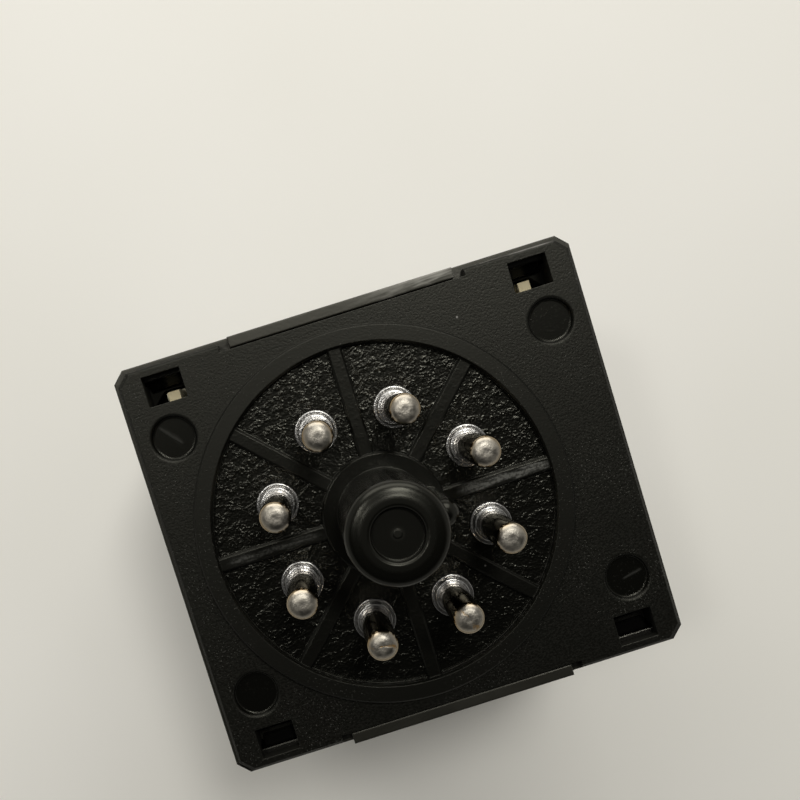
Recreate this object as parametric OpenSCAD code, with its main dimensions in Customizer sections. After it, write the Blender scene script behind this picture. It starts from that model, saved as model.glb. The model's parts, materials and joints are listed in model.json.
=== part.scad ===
// Octal plug-in time delay relay, in millimetres.
// It stands on its knob with the pins up: +Z runs along the pins, +X along the long side towards the key.
// The origin is on the floor under the middle of the case.

/* [Case] */
// Length of the case across its face
case_l = 39; // [39:0.5:42]
// Width of the case across its face
case_w = 35; // [35:0.5:38]
// Thickness of the side walls
wall = 1.5; // [1.4:0.05:1.6]
// Thickness of the front wall
front_t = 2; // [1.6:0.1:2.4]
// Depth from the front face to the rear rim
case_depth = 54.5; // [54.5:0.5:66]
// Bevel of the upright corners
corner = 0.95; // [0.6:0.05:1.2]
// How far the front flange stands out around the case
flange_out = 0.5; // [0.3:0.1:1]
// Thickness of the front flange
flange_t = 2.5; // [1.5:0.5:4]
// Bevel of the flange's front edge
flange_bevel = 0.6; // [0.3:0.1:1]
// Length of the tab on each long side
tab_l = 19; // [14:0.5:20]
// Thickness of the tabs
tab_t = 0.9; // [0.7:0.05:1]
// How far the tabs end below the base plate's face
tab_drop = 0.1; // [0:0.05:0.5]
// Width of the ribs that guide the main board
guide_w = 1; // [0.8:0.1:1.1]
// How far the guide ribs stand out from the short walls
guide_out = 1.1; // [0.9:0.1:1.3]

/* [Base] */
// Thickness of the base plate
plate_t = 1.5; // [1.3:0.1:1.8]
// How far the plate stays inside the case's outline
plate_inset = 0.4; // [0.3:0.05:0.6]
// Bevel of the plate's upper edge
plate_bevel = 0.2; // [0.1:0.05:0.3]
// Depth of the skirt inside the case
skirt_depth = 6.5; // [6:0.1:6.6]
// Thickness of the skirt
skirt_t = 0.9; // [0.8:0.05:0.95]
// Thickness of the floor that holds the pins
floor_t = 3.3; // [3.1:0.1:3.4]
// Width of plate left between the raised ring and the case's long sides
ring_edge = 2; // [1.8:0.1:2.4]
// Width of the raised ring
ring_w = 1.5; // [1:0.1:1.6]
// Height of the ring above the plate
ring_h = 0.8; // [0.5:0.1:1.2]
// Depth of the recess below the ring
recess_d = 0.9; // [0.8:0.1:1]
// Width of the radial ribs
rib_w = 1.2; // [0.8:0.05:1.3]
// How far the ribs end below the ring
rib_drop = 0.35; // [0.25:0.05:0.4]
// Radius of the hub around the post
hub_r = 5.1; // [4.6:0.1:5.6]
// How far the hub ends below the ring
hub_drop = 0.15; // [0.1:0.05:0.2]
// Distance of the latch slots from the case's short sides
slot_edge_x = 4; // [3.9:0.05:4.2]
// Distance of the latch slots from the case's long sides
slot_edge_y = 2.35; // [2.25:0.05:2.45]
// Length of a latch slot
slot_l = 3.2; // [3:0.1:3.3]
// Width of a latch slot
slot_w = 2.5; // [2.4:0.05:2.6]
// Radius of the round moulding marks
mark_r = 1.92; // [1.5:0.02:2]
// Depth of the round moulding marks
mark_d = 0.4; // [0.2:0.1:0.6]
// Width of the sloping border of the marks
mark_slope = 0.2; // [0.16:0.02:0.4]
// Distance of the marks from the case's short sides
mark_edge_x = 3.5; // [3.3:0.05:3.6]
// Distance of the marks from the case's long sides
mark_edge_y = 6.5; // [6.3:0.05:6.7]

/* [Octal plug] */
// Diameter of the pin circle
pcd = 17.45; // [17.35:0.05:17.55]
// Offset of the pin circle from the middle of the case
plug_x = -1.54; // [-1.6:0.02:-1.4]
// Radius of a pin
pin_r = 1.18; // [1.16:0.01:1.2]
// Height of the pin tips above the ring
pin_h = 10.3; // [9:0.1:11.2]
// Rounding of the pin tips
pin_round = 0.7; // [0.3:0.05:0.8]
// Radius of the flange under a pin
collar_r = 1.75; // [1.6:0.05:1.8]
// Radius of the step on the flange
step_r = 1.45; // [1.35:0.05:1.5]
// Height of the flange and of its step together
collar_h = 0.7; // [0.6:0.05:0.7]
// Radius of a pin's tail
tail_r = 0.9; // [0.8:0.05:1]
// Radius of the post
post_r = 3.85; // [3.7:0.05:3.95]
// Height of the post above the ring
post_h = 14.4; // [13:0.1:16]
// Rounding of the post's tip
post_round = 1.2; // [0.6:0.1:1.3]
// Radius of the dimple in the post's tip
dimple_r = 1.9; // [1.4:0.05:2]
// Rounding of the dimple's lip
dimple_lip = 0.3; // [0.1:0.05:0.4]
// Depth of the dimple
dimple_d = 0.8; // [0.5:0.1:1.2]
// Width of the key
key_w = 2.2; // [2:0.1:2.4]
// How far the key ends below the post's tip
key_drop = 3; // [2:0.5:5]

/* [Front] */
// How far the knob stands out from the front
knob_h = 6; // [5.5:0.1:8]
// Radius of the knob's skirt
knob_r = 11; // [10:0.1:11.2]
// Radius of the knob's grip
grip_r = 9; // [8:0.1:9.4]
// Thickness of the knob's skirt
knob_skirt = 1.3; // [1:0.1:1.6]
// Number of grooves around the grip
flutes = 20; // [14:1:24]
// Radius of the grooves
flute_r = 0.8; // [0.5:0.05:1]
// Gap between the knob and the front
knob_gap = 0.4; // [0.3:0.05:0.6]
// Radius of the potentiometer's shaft
shaft_r = 3; // [2.8:0.05:3.1]
// Distance of the flat on the shaft from its middle
shaft_flat = 1.6; // [1.4:0.1:2]
// Distance of the range selector from the inner face of the short wall
sel_edge = 3.8; // [3.7:0.1:4]
// Radius of the range selector's head
sel_r = 2.5; // [2.2:0.1:2.6]
// Radius of the range selector's stem
stem_r = 1.5; // [1.3:0.1:1.7]
// Distance of the indicator lenses from the inner face of the short wall
lens_edge_x = 3.4; // [3.3:0.1:3.6]
// Distance of the indicator lenses from the inner faces of the long walls
lens_edge_y = 8.8; // [8.6:0.1:9.2]
// Length of a lens window
lens_l = 4; // [3.4:0.1:4.2]
// Width of a lens window
lens_w = 2.4; // [2:0.1:2.6]

/* [Boards] */
// Thickness of the boards
board_t = 1.6; // [1.5:0.1:1.7]
// Gap between the main board and the long wall
main_back = 1.3; // [1.2:0.05:1.35]
// Distance of the front board from the front wall
front_gap = 6; // [5.8:0.1:6.4]
// Distance of the pin board below the base's floor
pin_gap = 4; // [3.8:0.1:4.3]
// Width of the main board's tongues
tongue_w = 1; // [0.9:0.1:1.4]
// Distance of each tongue's middle from the inner face of the short wall
tongue_edge = 2.9; // [2.8:0.05:3]
// How far the tongues end below the base plate's face
tongue_drop = 2; // [1.8:0.1:2.4]

/* [Output relay] */
// Length of the relay's cover
relay_l = 28; // [28:0.1:29]
// Width of the relay's cover
relay_w = 12.6; // [12.4:0.1:13]
// Height of the relay's cover
relay_h = 24.9; // [24.8:0.1:27]
// Thickness of the relay's cover
cover_t = 0.7; // [0.6:0.05:0.8]
// Thickness of the relay's base
rbase_t = 3; // [2.6:0.1:3.2]
// Angle that the armature turns through
pull = 4.5; // [3.5:0.1:5]
// Thickness of the yoke and the armature
iron_t = 1.2; // [1:0.05:1.3]
// Radius of the core
core_r = 2; // [1.8:0.1:2.2]
// Length of the bobbin
bobbin_h = 11.8; // [11.2:0.1:12]
// Radius of the winding
winding_r = 4.5; // [4:0.1:4.6]
// Radius of the contact rivets
rivet_r = 1.1; // [0.9:0.05:1.2]
// Distance of each pole from the middle of the relay
pole_y = 3.2; // [3:0.05:3.3]
// Width of the contact blades
blade_w = 2.6; // [2.2:0.1:2.8]

/* [Fits] */
// Radial clearance of turning shafts
run_fit = 0.05; // [0.02:0.01:0.08]
// Clearance between pieces that are fixed together
seat_fit = 0.05; // [0.03:0.01:0.08]
// Clearance between the base's skirt and the case
skirt_fit = 0.15; // [0.1:0.01:0.2]
// Clearance around pieces that pass through a wall
pass_fit = 0.4; // [0.35:0.05:0.5]

/* [Hidden] */
$fn = 64;
// overlap that joins the pieces of one solid
eps = 0.02;
// heights of the main faces above the floor
z_front = knob_h;
z_in = z_front + front_t;
z_rim = z_front + case_depth;
z_plate = z_rim + plate_t;
z_ring = z_plate + ring_h;
z_floor = z_ring - recess_d;
z_under = z_floor - floor_t;
z_pinb = z_under - pin_gap;
z_frontb = z_in + front_gap;
z_skirt = z_rim - skirt_depth;
in_l = case_l - 2 * wall;
in_w = case_w - 2 * wall;
// the places on the face and on the front, from the sides
ring_o = case_w / 2 - ring_edge;
ring_r = ring_o - ring_w;
slot_x = case_l / 2 - slot_edge_x;
slot_y = case_w / 2 - slot_edge_y;
mark_x = case_l / 2 - mark_edge_x;
mark_y = case_w / 2 - mark_edge_y;
sel_x = in_l / 2 - sel_edge;
lens_x = in_l / 2 - lens_edge_x;
lens_y = in_w / 2 - lens_edge_y;
tongue_x = in_l / 2 - tongue_edge;
// the catch that holds the base: a nub on the wall above the bar under each slot
nub_h = 1.4;
nub_out = 0.8;
bar_z = z_rim - 2.1;
// the main board's faces, and the guide's top
main_y = in_w / 2 - main_back - board_t;
guide_top = z_skirt - 3;
main_low = z_in + 3;
main_top = z_under - 1.1;
// the front board, inside the guides
frontb_x = in_l / 2 - guide_out - 0.1;
frontb_y0 = -in_w / 2 + pass_fit;
frontb_y1 = main_y - seat_fit;
stand_r = 1.2;
stand_x = in_l / 2 - 2.2;
stand_ys = [-in_w / 2 + 3, main_y - 1.5];
// the pin board, inside the skirt
skirt_l = in_l - 2 * skirt_fit;
skirt_w = in_w - 2 * skirt_fit;
pinb_x = skirt_l / 2 - skirt_t - 0.35;
pinb_y = skirt_w / 2 - skirt_t - 0.35;
spacer_r = 1.6;
spacer_x = pinb_x - 3.1;
spacer_y = pinb_y - 5.1;
// the front's small pieces
pot_s = 11;
pot_z = z_in + 0.6;
switch_s = 7;
switch_z = z_in + 0.8;
lens_lip = 0.5;
led_r = 1.5;
led_rim = 1.9;
pointer_w = 1;
pointer_d = 0.35;
bore_z = 1.8;
nub_play = 0.3;
chip_lift = 0.5;
// the wire links between the front board and the main board
link_y = main_y - 2;
link_z = z_frontb + board_t + 1.2;
// the relay, in its own frame: X along its cover, Z away from the main board
relay_x = in_l / 2 - 8.5;
relay_z = z_frontb + board_t + 4.9 + relay_l / 2;
coil_x = -1.5;
yoke_x = -9.6;
yoke_w = 9;
coil_z = rbase_t + iron_t;
pole_z = coil_z + bobbin_h + 0.9;
flange_h = 0.9;
head_h = 0.8;
iron_gap = 0.1;
hinge_x = yoke_x + iron_t / 2;
hinge_z = pole_z + iron_gap;
arm_top = hinge_z + iron_t;
block_h = 1.8;
arm_reach = 6;
block_reach = [0.5, 8.5];
blade_t = 0.35;
rivet_h = 0.6;
contact_x = 11;
blade_z = arm_top + block_h;
contact_gap = 0.05;
strip_t = 0.5;
open_z = blade_z - rivet_h - contact_gap;
lift_x = contact_x + rivet_r - hinge_x;
lift_z = blade_z + blade_t + rivet_h - hinge_z;
closed_z = hinge_z + lift_x * sin(pull) + lift_z * cos(pull) + contact_gap;
closed_x = contact_x + rivet_r + 0.3;
open_leg_x = contact_x - rivet_r - 0.2;
tail_out = board_t + 0.6;
tail_x = -2.4;
spring_r = 0.8;
spring_low = pole_z - 7.9;
spring_turns = 12;
spring_top = hinge_z - (hinge_x - yoke_x - tail_x / 2) * sin(pull) - 0.15;
// the other components on the main board
stack_x = -in_l / 2 + 9;
stack_gap = 0.5;
film = [13, 10, 13];
film_pitch = 10;
film_at = [stack_x, z_frontb + board_t + 5.4];
vdr_r = 4.5;
vdr_t = 3.6;
vdr_lift = 1;
vdr_at = [stack_x, film_at[1] + film[2] + vdr_t / 2 + stack_gap];
elco_r = 5;
elco_l = 20;
groove_z = 2.2;
groove_w = 0.6;
groove_d = 0.35;
elco_at = [stack_x, vdr_at[1] + vdr_t / 2 + elco_r + stack_gap];
disc_pitch = 5;
res_r = 1.2;
res_l = 6.4;
res_pitch = 10;
res_lift = 0.3;
res_x = in_l / 2 - 7;
res_z = z_frontb + board_t + 2.4;
res_at = [[-res_x, res_z], [res_x, res_z], [relay_x - 1.5, relay_z + relay_l / 2 + 1.8]];
lead_r = 0.35;
link_s = 0.6;
links = [for (i = [-2.5:1:2.5]) i * 2.2];
chip = [9.8, 6.4, 3.2];
chip_at = [-3, -4];

// where each pair of leads goes through the main board
function pair(at, half) = [[at[0] - half, at[1]], [at[0] + half, at[1]]];
box_leads = concat(pair(film_at + [0, film[2] / 2], film_pitch / 2), pair(elco_at, disc_pitch / 2));
disc_leads = pair(vdr_at, disc_pitch / 2);
main_leads = concat(box_leads, disc_leads, pair(res_at[0], res_pitch / 2), pair(res_at[1], res_pitch / 2),
    pair(res_at[2], res_pitch / 2));

// angle of a pin, numbered clockwise from the key as seen on the plug
function pin_angle(n) = -22.5 - 45 * (n - 1);

// oblong with bevelled corners
module oblong(l, w, c) {
    polygon([[l / 2 - c, w / 2], [c - l / 2, w / 2], [-l / 2, w / 2 - c], [-l / 2, c - w / 2],
        [c - l / 2, -w / 2], [l / 2 - c, -w / 2], [l / 2, c - w / 2], [l / 2, w / 2 - c]]);
}

// slab with one bevelled face, up or down
module slab(l, w, c, h, bevel, up) {
    hull() {
        translate([0, 0, up ? 0 : bevel])
            linear_extrude(h - bevel)
                oblong(l, w, c);
        linear_extrude(h)
            oblong(l - 2 * bevel, w - 2 * bevel, c);
    }
}

// box between two corners
module span(a, b) {
    translate(a)
        cube(b - a);
}

// half outline of a round bar with a rounded tip
module bar_outline(r, h, f) {
    square([r, h - f]);
    square([r - f, h]);
    translate([r - f, h - f])
        intersection() {
            circle(f);
            square(f);
        }
}

// places its children at each mirrored corner
module corners(x, y) {
    for (sx = [-1, 1], sy = [-1, 1])
        translate([sx * x, sy * y, 0])
            children();
}

// stands its children on the main board
module on_relay() {
    translate([relay_x, main_y, relay_z])
        rotate([90, -90, 0])
            children();
}

// turns its children with the armature from pulled in to released
module released() {
    translate([hinge_x, 0, hinge_z])
        rotate([0, -pull, 0])
            translate([-hinge_x, 0, -hinge_z])
                children();
}

// half outline of the post, with the rounded lip of its dimple
module post_outline(h) {
    difference() {
        bar_outline(post_r, h, post_round);
        translate([-eps, h - dimple_d])
            square([dimple_r + dimple_lip + eps, dimple_d + 1]);
    }
    translate([dimple_r, h - dimple_d - eps])
        square([dimple_lip + eps, dimple_d - dimple_lip + eps]);
    translate([dimple_r + dimple_lip, h - dimple_lip])
        circle(dimple_lip);
}

module base() {
    edge = 0.15;
    rim = 0.12;
    plate_l = case_l - 2 * plate_inset;
    plate_w = case_w - 2 * plate_inset;
    rib_top = z_ring - rib_drop;
    color("#1b1b1c") {
        difference() {
            union() {
                translate([0, 0, z_rim])
                    slab(plate_l, plate_w, corner, plate_t, plate_bevel, true);
                translate([0, 0, z_skirt])
                    linear_extrude(skirt_depth + eps)
                        difference() {
                            oblong(skirt_l, skirt_w, corner);
                            oblong(skirt_l - 2 * skirt_t, skirt_w - 2 * skirt_t, corner);
                        }
                translate([plug_x, 0, 0])
                    rotate_extrude()
                        polygon([[0, z_under], [ring_o, z_under], [ring_o, z_ring - edge],
                            [ring_o - edge, z_ring], [0, z_ring]]);
                corners(spacer_x, spacer_y)
                    translate([0, 0, z_pinb])
                        cylinder(r = spacer_r, h = z_rim - z_pinb + eps);
            }
            translate([plug_x, 0, 0])
                rotate_extrude()
                    polygon([[0, z_floor], [ring_r, z_floor], [ring_r, z_ring - edge],
                        [ring_r + edge, z_ring], [ring_r + edge, z_ring + 1], [0, z_ring + 1]]);
            for (n = [1:8])
                translate([plug_x, 0, z_under - 1])
                    rotate(pin_angle(n))
                        translate([pcd / 2, 0, 0])
                            cylinder(r = tail_r + seat_fit, h = floor_t + 2);
            corners(slot_x, slot_y)
                translate([-slot_l / 2, -slot_w / 2, bar_z])
                    cube([slot_l, slot_w, z_plate]);
            corners(mark_x, mark_y)
                translate([0, 0, z_plate - mark_d])
                    rotate_extrude()
                        polygon([[0, 0], [mark_r - mark_slope, 0], [mark_r - edge, mark_d / 2],
                            [mark_r + edge, 3 * mark_d / 2], [0, 3 * mark_d / 2]]);
            for (s = [-1, 1])
                translate([0, s * case_w / 2, z_rim + plate_t / 2])
                    cube([tab_l + 2 * tab_t, 2 * (tab_t + plate_inset / 4), plate_t + 1], center = true);
        }
        translate([plug_x, 0, 0]) {
            for (n = [1:8])
                rotate(pin_angle(n) + 22.5)
                    translate([hub_r - rib_w, 0, 0])
                        rotate([90, 0, 90])
                            linear_extrude(ring_r - hub_r + rib_w + eps)
                                polygon([[-rib_w / 2, z_floor - eps], [rib_w / 2, z_floor - eps],
                                    [rib_w / 2, rib_top - edge], [rib_w / 2 - edge, rib_top],
                                    [edge - rib_w / 2, rib_top], [-rib_w / 2, rib_top - edge]]);
            rotate_extrude()
                polygon([[0, z_floor - eps], [hub_r, z_floor - eps], [hub_r, z_ring - hub_drop - rim],
                    [hub_r - rim, z_ring - hub_drop], [0, z_ring - hub_drop]]);
            translate([0, 0, z_floor - eps])
                rotate_extrude()
                    post_outline(recess_d + post_h + eps);
            translate([0, 0, z_ring + post_h - dimple_d - eps])
                cylinder(r = dimple_r / 6, h = dimple_d / 6);
            translate([post_r, 0, z_floor - eps]) {
                cylinder(r = key_w / 2, h = recess_d + post_h - key_drop - key_w / 2);
                translate([0, 0, recess_d + post_h - key_drop - key_w / 2])
                    sphere(r = key_w / 2);
            }
        }
    }
}

module pin(n) {
    low = z_pinb - board_t - 1;
    swage_h = 0.7;
    top = z_floor + collar_h;
    step = z_floor + collar_h / 2;
    edge = 0.1;
    color("#c9c6bf")
        translate([plug_x, 0, 0])
            rotate(pin_angle(n))
                translate([pcd / 2, 0, 0]) {
                    translate([0, 0, top - eps])
                        rotate_extrude()
                            bar_outline(pin_r, z_ring + pin_h - top + eps, pin_round);
                    rotate_extrude()
                        polygon([[0, low], [tail_r - 2 * edge, low], [tail_r, low + 2 * edge],
                            [tail_r, z_under - swage_h], [step_r, z_under - swage_h],
                            [step_r + edge, z_under - seat_fit],
                            [tail_r, z_under - seat_fit], [tail_r, z_floor], [collar_r, z_floor],
                            [collar_r, step - edge], [collar_r - edge, step], [step_r, step],
                            [step_r, top - edge], [step_r - edge, top], [0, top]]);
                }
}

module case() {
    nub_y = in_w / 2 - nub_out;
    color("#222223") {
        difference() {
            union() {
                translate([0, 0, z_front])
                    slab(case_l + 2 * flange_out, case_w + 2 * flange_out, corner + flange_out, flange_t,
                        flange_bevel, false);
                translate([0, 0, z_front + flange_bevel])
                    linear_extrude(case_depth - flange_bevel)
                        oblong(case_l, case_w, corner);
            }
            translate([0, 0, z_in])
                linear_extrude(case_depth)
                    oblong(in_l, in_w, corner / 2);
            translate([0, 0, z_front - 1])
                cylinder(r = shaft_r + pass_fit, h = front_t + 2);
            translate([sel_x, 0, z_front - 1])
                cylinder(r = sel_r + pass_fit, h = front_t + 2);
            for (s = [-1, 1])
                translate([-lens_x, s * lens_y, z_in])
                    cube([lens_w, lens_l, 2 * front_t + 2], center = true);
        }
        for (s = [-1, 1]) {
            translate([0, s * (case_w - tab_t) / 2, 0])
                span([-tab_l / 2, -tab_t / 2, z_rim - eps], [tab_l / 2, tab_t / 2, z_plate - tab_drop]);
            for (sx = [-1, 1])
                translate([sx * slot_x - slot_l / 2 + nub_play, 0, 0])
                    rotate([90, 0, 90])
                        linear_extrude(slot_l - 2 * nub_play)
                            polygon([[s * (in_w / 2 + eps), bar_z + seat_fit], [s * nub_y, bar_z + seat_fit],
                                [s * nub_y, bar_z + nub_h / 2], [s * (in_w / 2 + eps), bar_z + nub_h]]);
            translate([s * (in_l - guide_out) / 2, 0, 0]) {
                for (g = [main_y - seat_fit - guide_w, main_y + board_t + seat_fit])
                    span([-guide_out / 2 - eps, g, z_in - eps],
                        [guide_out / 2 + eps, g + guide_w, guide_top]);
                span([-guide_out / 2 - eps, main_y - guide_w, z_in - eps],
                    [guide_out / 2 + eps, main_y + board_t + guide_w, main_low]);
            }
            for (y = stand_ys)
                translate([s * stand_x, y, z_in - eps])
                    cylinder(r = stand_r, h = front_gap + eps);
        }
    }
}

module knob() {
    top = knob_h - knob_gap;
    grip_h = top - knob_skirt;
    edge = 0.5;
    color("#2a2a2b")
        difference() {
            union() {
                rotate_extrude()
                    polygon([[0, 0], [grip_r - edge, 0], [grip_r, edge], [grip_r, grip_h],
                        [knob_r - edge, grip_h], [knob_r, grip_h + edge], [knob_r, top], [0, top]]);
            }
            for (i = [0:flutes - 1])
                rotate((i + 0.5) * 360 / flutes)
                    translate([grip_r + flute_r / 3, 0, -1])
                        cylinder(r = flute_r, h = grip_h + 1 - edge / 2);
            translate([0, 0, bore_z])
                shaft_outline(shaft_r + seat_fit, shaft_flat + seat_fit, top);
            span([-knob_r - 1, -pointer_w / 2, grip_h - 1],
                [-grip_r - edge / 2, pointer_w / 2, grip_h + pointer_d]);
            span([-grip_r - 1, -pointer_w / 2, -1], [-grip_r / 2, pointer_w / 2, pointer_d]);
        }
}

// round bar with a flat on its -X side
module shaft_outline(r, flat, h) {
    linear_extrude(h)
        intersection() {
            circle(r);
            translate([-flat, -r])
                square([flat + r, 2 * r]);
        }
}

module pot_shaft() {
    tip = bore_z + seat_fit;
    color("#b9b7b0") {
        translate([0, 0, tip])
            shaft_outline(shaft_r, shaft_flat, z_front - tip);
        translate([0, 0, z_front - eps])
            cylinder(r = shaft_r, h = z_frontb - 0.5 - z_front);
    }
}

module pot_body() {
    color("#3a4a5c")
        difference() {
            span([-pot_s / 2, -pot_s / 2, pot_z], [pot_s / 2, pot_s / 2, z_frontb]);
            translate([0, 0, pot_z - 1])
                cylinder(r = shaft_r + run_fit, h = z_frontb - pot_z + 0.7);
        }
}

module range_selector() {
    head_z = z_front - 0.4;
    head_t = front_t + 0.2;
    slot_t = 0.7;
    color("#e4e0d4")
        translate([sel_x, 0, 0])
            difference() {
                union() {
                    translate([0, 0, head_z])
                        cylinder(r = sel_r, h = head_t);
                    translate([0, 0, head_z + head_t - eps])
                        cylinder(r = stem_r, h = z_frontb - 0.6 - head_z - head_t);
                }
                span([-sel_r - 1, -slot_t / 2, head_z - 1], [sel_r - 0.6, slot_t / 2, head_z + 0.9]);
            }
}

module range_switch() {
    color("#26364a")
        translate([sel_x, 0, 0])
            difference() {
                span([-switch_s / 2, -switch_s / 2, switch_z], [switch_s / 2, switch_s / 2, z_frontb]);
                translate([0, 0, switch_z - 1])
                    cylinder(r = stem_r + run_fit, h = z_frontb - switch_z + 0.8);
            }
}

// light window in the front wall: side -1 or 1
module lens(side) {
    l = lens_l - 2 * seat_fit;
    w = lens_w - 2 * seat_fit;
    translate([-lens_x, side * lens_y, 0]) {
        span([-w / 2, -l / 2, z_front - 0.2], [w / 2, l / 2, z_in + eps]);
        span([-w / 2 - lens_lip, -l / 2 - lens_lip, z_in], [w / 2 + lens_lip, l / 2 + lens_lip, z_in + 0.6]);
    }
}

module power_lens() {
    color("#3fae55")
        lens(-1);
}

module output_lens() {
    color("#d8642a")
        lens(1);
}

// light source behind a lens: side -1 or 1
module led(side) {
    low = z_in + 1;
    translate([-lens_x, side * lens_y, 0]) {
        translate([0, 0, low + led_r])
            sphere(r = led_r);
        translate([0, 0, low + led_r])
            cylinder(r = led_r, h = z_frontb - low - led_r);
        translate([0, 0, z_frontb - 1])
            cylinder(r = led_rim, h = 1);
    }
}

module power_led() {
    color("#8fd79c")
        led(-1);
}

module output_led() {
    color("#e79a72")
        led(1);
}

module front_board() {
    color("#2f5f3c")
        difference() {
            span([-frontb_x, frontb_y0, z_frontb], [frontb_x, frontb_y1, z_frontb + board_t]);
            for (x = links)
                translate([x, link_y, z_frontb])
                    cube([link_s + 2 * seat_fit, link_s + 2 * seat_fit, 3 * board_t], center = true);
        }
}

module main_board() {
    neck = skirt_l / 2 - skirt_t - corner - seat_fit;
    wide = in_l / 2 - pass_fit;
    color("#d9cfa0")
        difference() {
            translate([0, main_y + board_t, 0])
                rotate([90, 0, 0])
                    linear_extrude(board_t) {
                        polygon([[-wide, main_low], [wide, main_low], [wide, guide_top], [neck, guide_top],
                            [neck, main_top], [-neck, main_top], [-neck, guide_top], [-wide, guide_top]]);
                        for (s = [-1, 1])
                            translate([s * tongue_x - tongue_w / 2, main_top - eps])
                                square([tongue_w, z_plate - tongue_drop - main_top + eps]);
                    }
            for (p = main_leads)
                translate([p[0], main_y - 1, p[1]])
                    rotate([-90, 0, 0])
                        cylinder(r = lead_r + seat_fit, h = board_t + 2);
            for (x = links)
                translate([x, main_y, link_z])
                    cube([link_s + 2 * seat_fit, 4 * board_t, link_s + 2 * seat_fit], center = true);
            on_relay()
                for (x = [closed_x, open_leg_x], s = [-1, 1])
                    span([x - seat_fit, s * pole_y - blade_w / 4 - seat_fit, -board_t - 1],
                        [x + strip_t + seat_fit, s * pole_y + blade_w / 4 + seat_fit, 1]);
        }
}

module pin_board() {
    color("#3d6b48")
        difference() {
            translate([0, 0, z_pinb - board_t])
                linear_extrude(board_t)
                    oblong(2 * pinb_x, 2 * pinb_y, corner);
            span([-in_l / 2, main_y - seat_fit, z_pinb - 2 * board_t],
                [in_l / 2, in_w / 2, z_pinb + board_t]);
            for (n = [1:8])
                translate([plug_x, 0, z_pinb - board_t - 1])
                    rotate(pin_angle(n))
                        translate([pcd / 2, 0, 0])
                            cylinder(r = tail_r + 2 * seat_fit, h = board_t + 2);
        }
}

module pin_joints() {
    low = z_pinb - board_t;
    color("#a9a9a6")
        for (n = [1:8])
            translate([plug_x, 0, 0])
                rotate(pin_angle(n))
                    translate([pcd / 2, 0, 0])
                        rotate_extrude()
                            polygon([[tail_r + seat_fit / 2, low], [tail_r + 0.9, low],
                                [tail_r + 0.35, low - 0.3], [tail_r + seat_fit / 2, low - 0.75]]);
}

module board_links() {
    color("#bdbbb3")
        for (x = links)
            translate([x - link_s / 2, 0, 0]) {
                span([0, link_y - link_s / 2, z_frontb - 0.8],
                    [link_s, link_y + link_s / 2, link_z + link_s / 2]);
                span([0, link_y - link_s / 2, link_z - link_s / 2],
                    [link_s, main_y + board_t + 0.8, link_z + link_s / 2]);
            }
}

module timer_chip() {
    z = z_frontb + board_t + chip_lift;
    color("#1f1f20")
        difference() {
            translate([chip_at[0], chip_at[1], z])
                span([-chip[0] / 2, -chip[1] / 2, 0], chip - [chip[0] / 2, chip[1] / 2, 0]);
            translate([chip_at[0] - chip[0] / 2, chip_at[1], z + chip[2]])
                cylinder(r = 0.8, h = 1, center = true);
        }
}

module chip_legs() {
    z = z_frontb + board_t;
    leg_t = 0.3;
    leg_w = 0.9;
    color("#c4c2ba")
        for (i = [-1.5:1:1.5], s = [-1, 1])
            translate([chip_at[0] + i * 2.2 - leg_w / 2, chip_at[1], z])
                rotate([90, 0, 90])
                    linear_extrude(leg_w)
                        polygon([[s * chip[1] / 2, chip_lift + 1], [s * (chip[1] / 2 + 0.6), chip_lift + 1],
                            [s * (chip[1] / 2 + 0.6), leg_t], [s * (chip[1] / 2 + 1.6), leg_t],
                            [s * (chip[1] / 2 + 1.6), 0], [s * (chip[1] / 2 + 0.6 - leg_t), 0],
                            [s * (chip[1] / 2 + 0.6 - leg_t), chip_lift + 1 - leg_t],
                            [s * chip[1] / 2, chip_lift + 1 - leg_t]]);
}

// turns its children to stand out from the main board at a point on it
module on_main(at) {
    translate([at[0], main_y, at[1]])
        rotate([90, 0, 0])
            children();
}

module filter_capacitor() {
    color("#3b3f55")
        on_main(elco_at)
            rotate_extrude()
                polygon([[0, 0], [elco_r - groove_d, 0], [elco_r, groove_d], [elco_r, groove_z - groove_w],
                    [elco_r - groove_d, groove_z - groove_w / 3],
                    [elco_r - groove_d, groove_z + groove_w / 3],
                    [elco_r, groove_z + groove_w], [elco_r, elco_l - groove_d], [elco_r - groove_d, elco_l],
                    [elco_r - 2 * groove_d, elco_l], [elco_r - 3 * groove_d, elco_l - groove_d],
                    [0, elco_l - groove_d]]);
}

module dropper_capacitor() {
    color("#b8752f")
        translate([film_at[0], 0, film_at[1]])
            slab_up([-film[0] / 2, main_y - film[1], 0], [film[0] / 2, main_y, film[2]]);
}

// box with bevelled upright edges
module slab_up(a, b) {
    translate([(a[0] + b[0]) / 2, (a[1] + b[1]) / 2, a[2]])
        linear_extrude(b[2] - a[2])
            oblong(b[0] - a[0], b[1] - a[1], 0.5);
}

module varistor() {
    color("#2f5aa0")
        translate([vdr_at[0], main_y - vdr_r - vdr_lift, vdr_at[1]])
            rotate_extrude()
                polygon([[0, -vdr_t / 2], [vdr_r - 0.9, -vdr_t / 2], [vdr_r, -vdr_t / 4], [vdr_r, vdr_t / 4],
                    [vdr_r - 0.9, vdr_t / 2], [0, vdr_t / 2]]);
}

module resistors() {
    color("#c9a876")
        for (p = res_at)
            translate([p[0] - res_l / 2, main_y - res_r - res_lift, p[1]])
                rotate([0, 90, 0])
                    rotate_extrude()
                        polygon([[0, 0], [res_r - 0.2, 0], [res_r, 0.2], [res_r, 1.2], [res_r - 0.2, 1.6],
                            [res_r - 0.2, res_l - 1.6], [res_r, res_l - 1.2], [res_r, res_l - 0.2],
                            [res_r - 0.2, res_l], [0, res_l]]);
}

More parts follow.
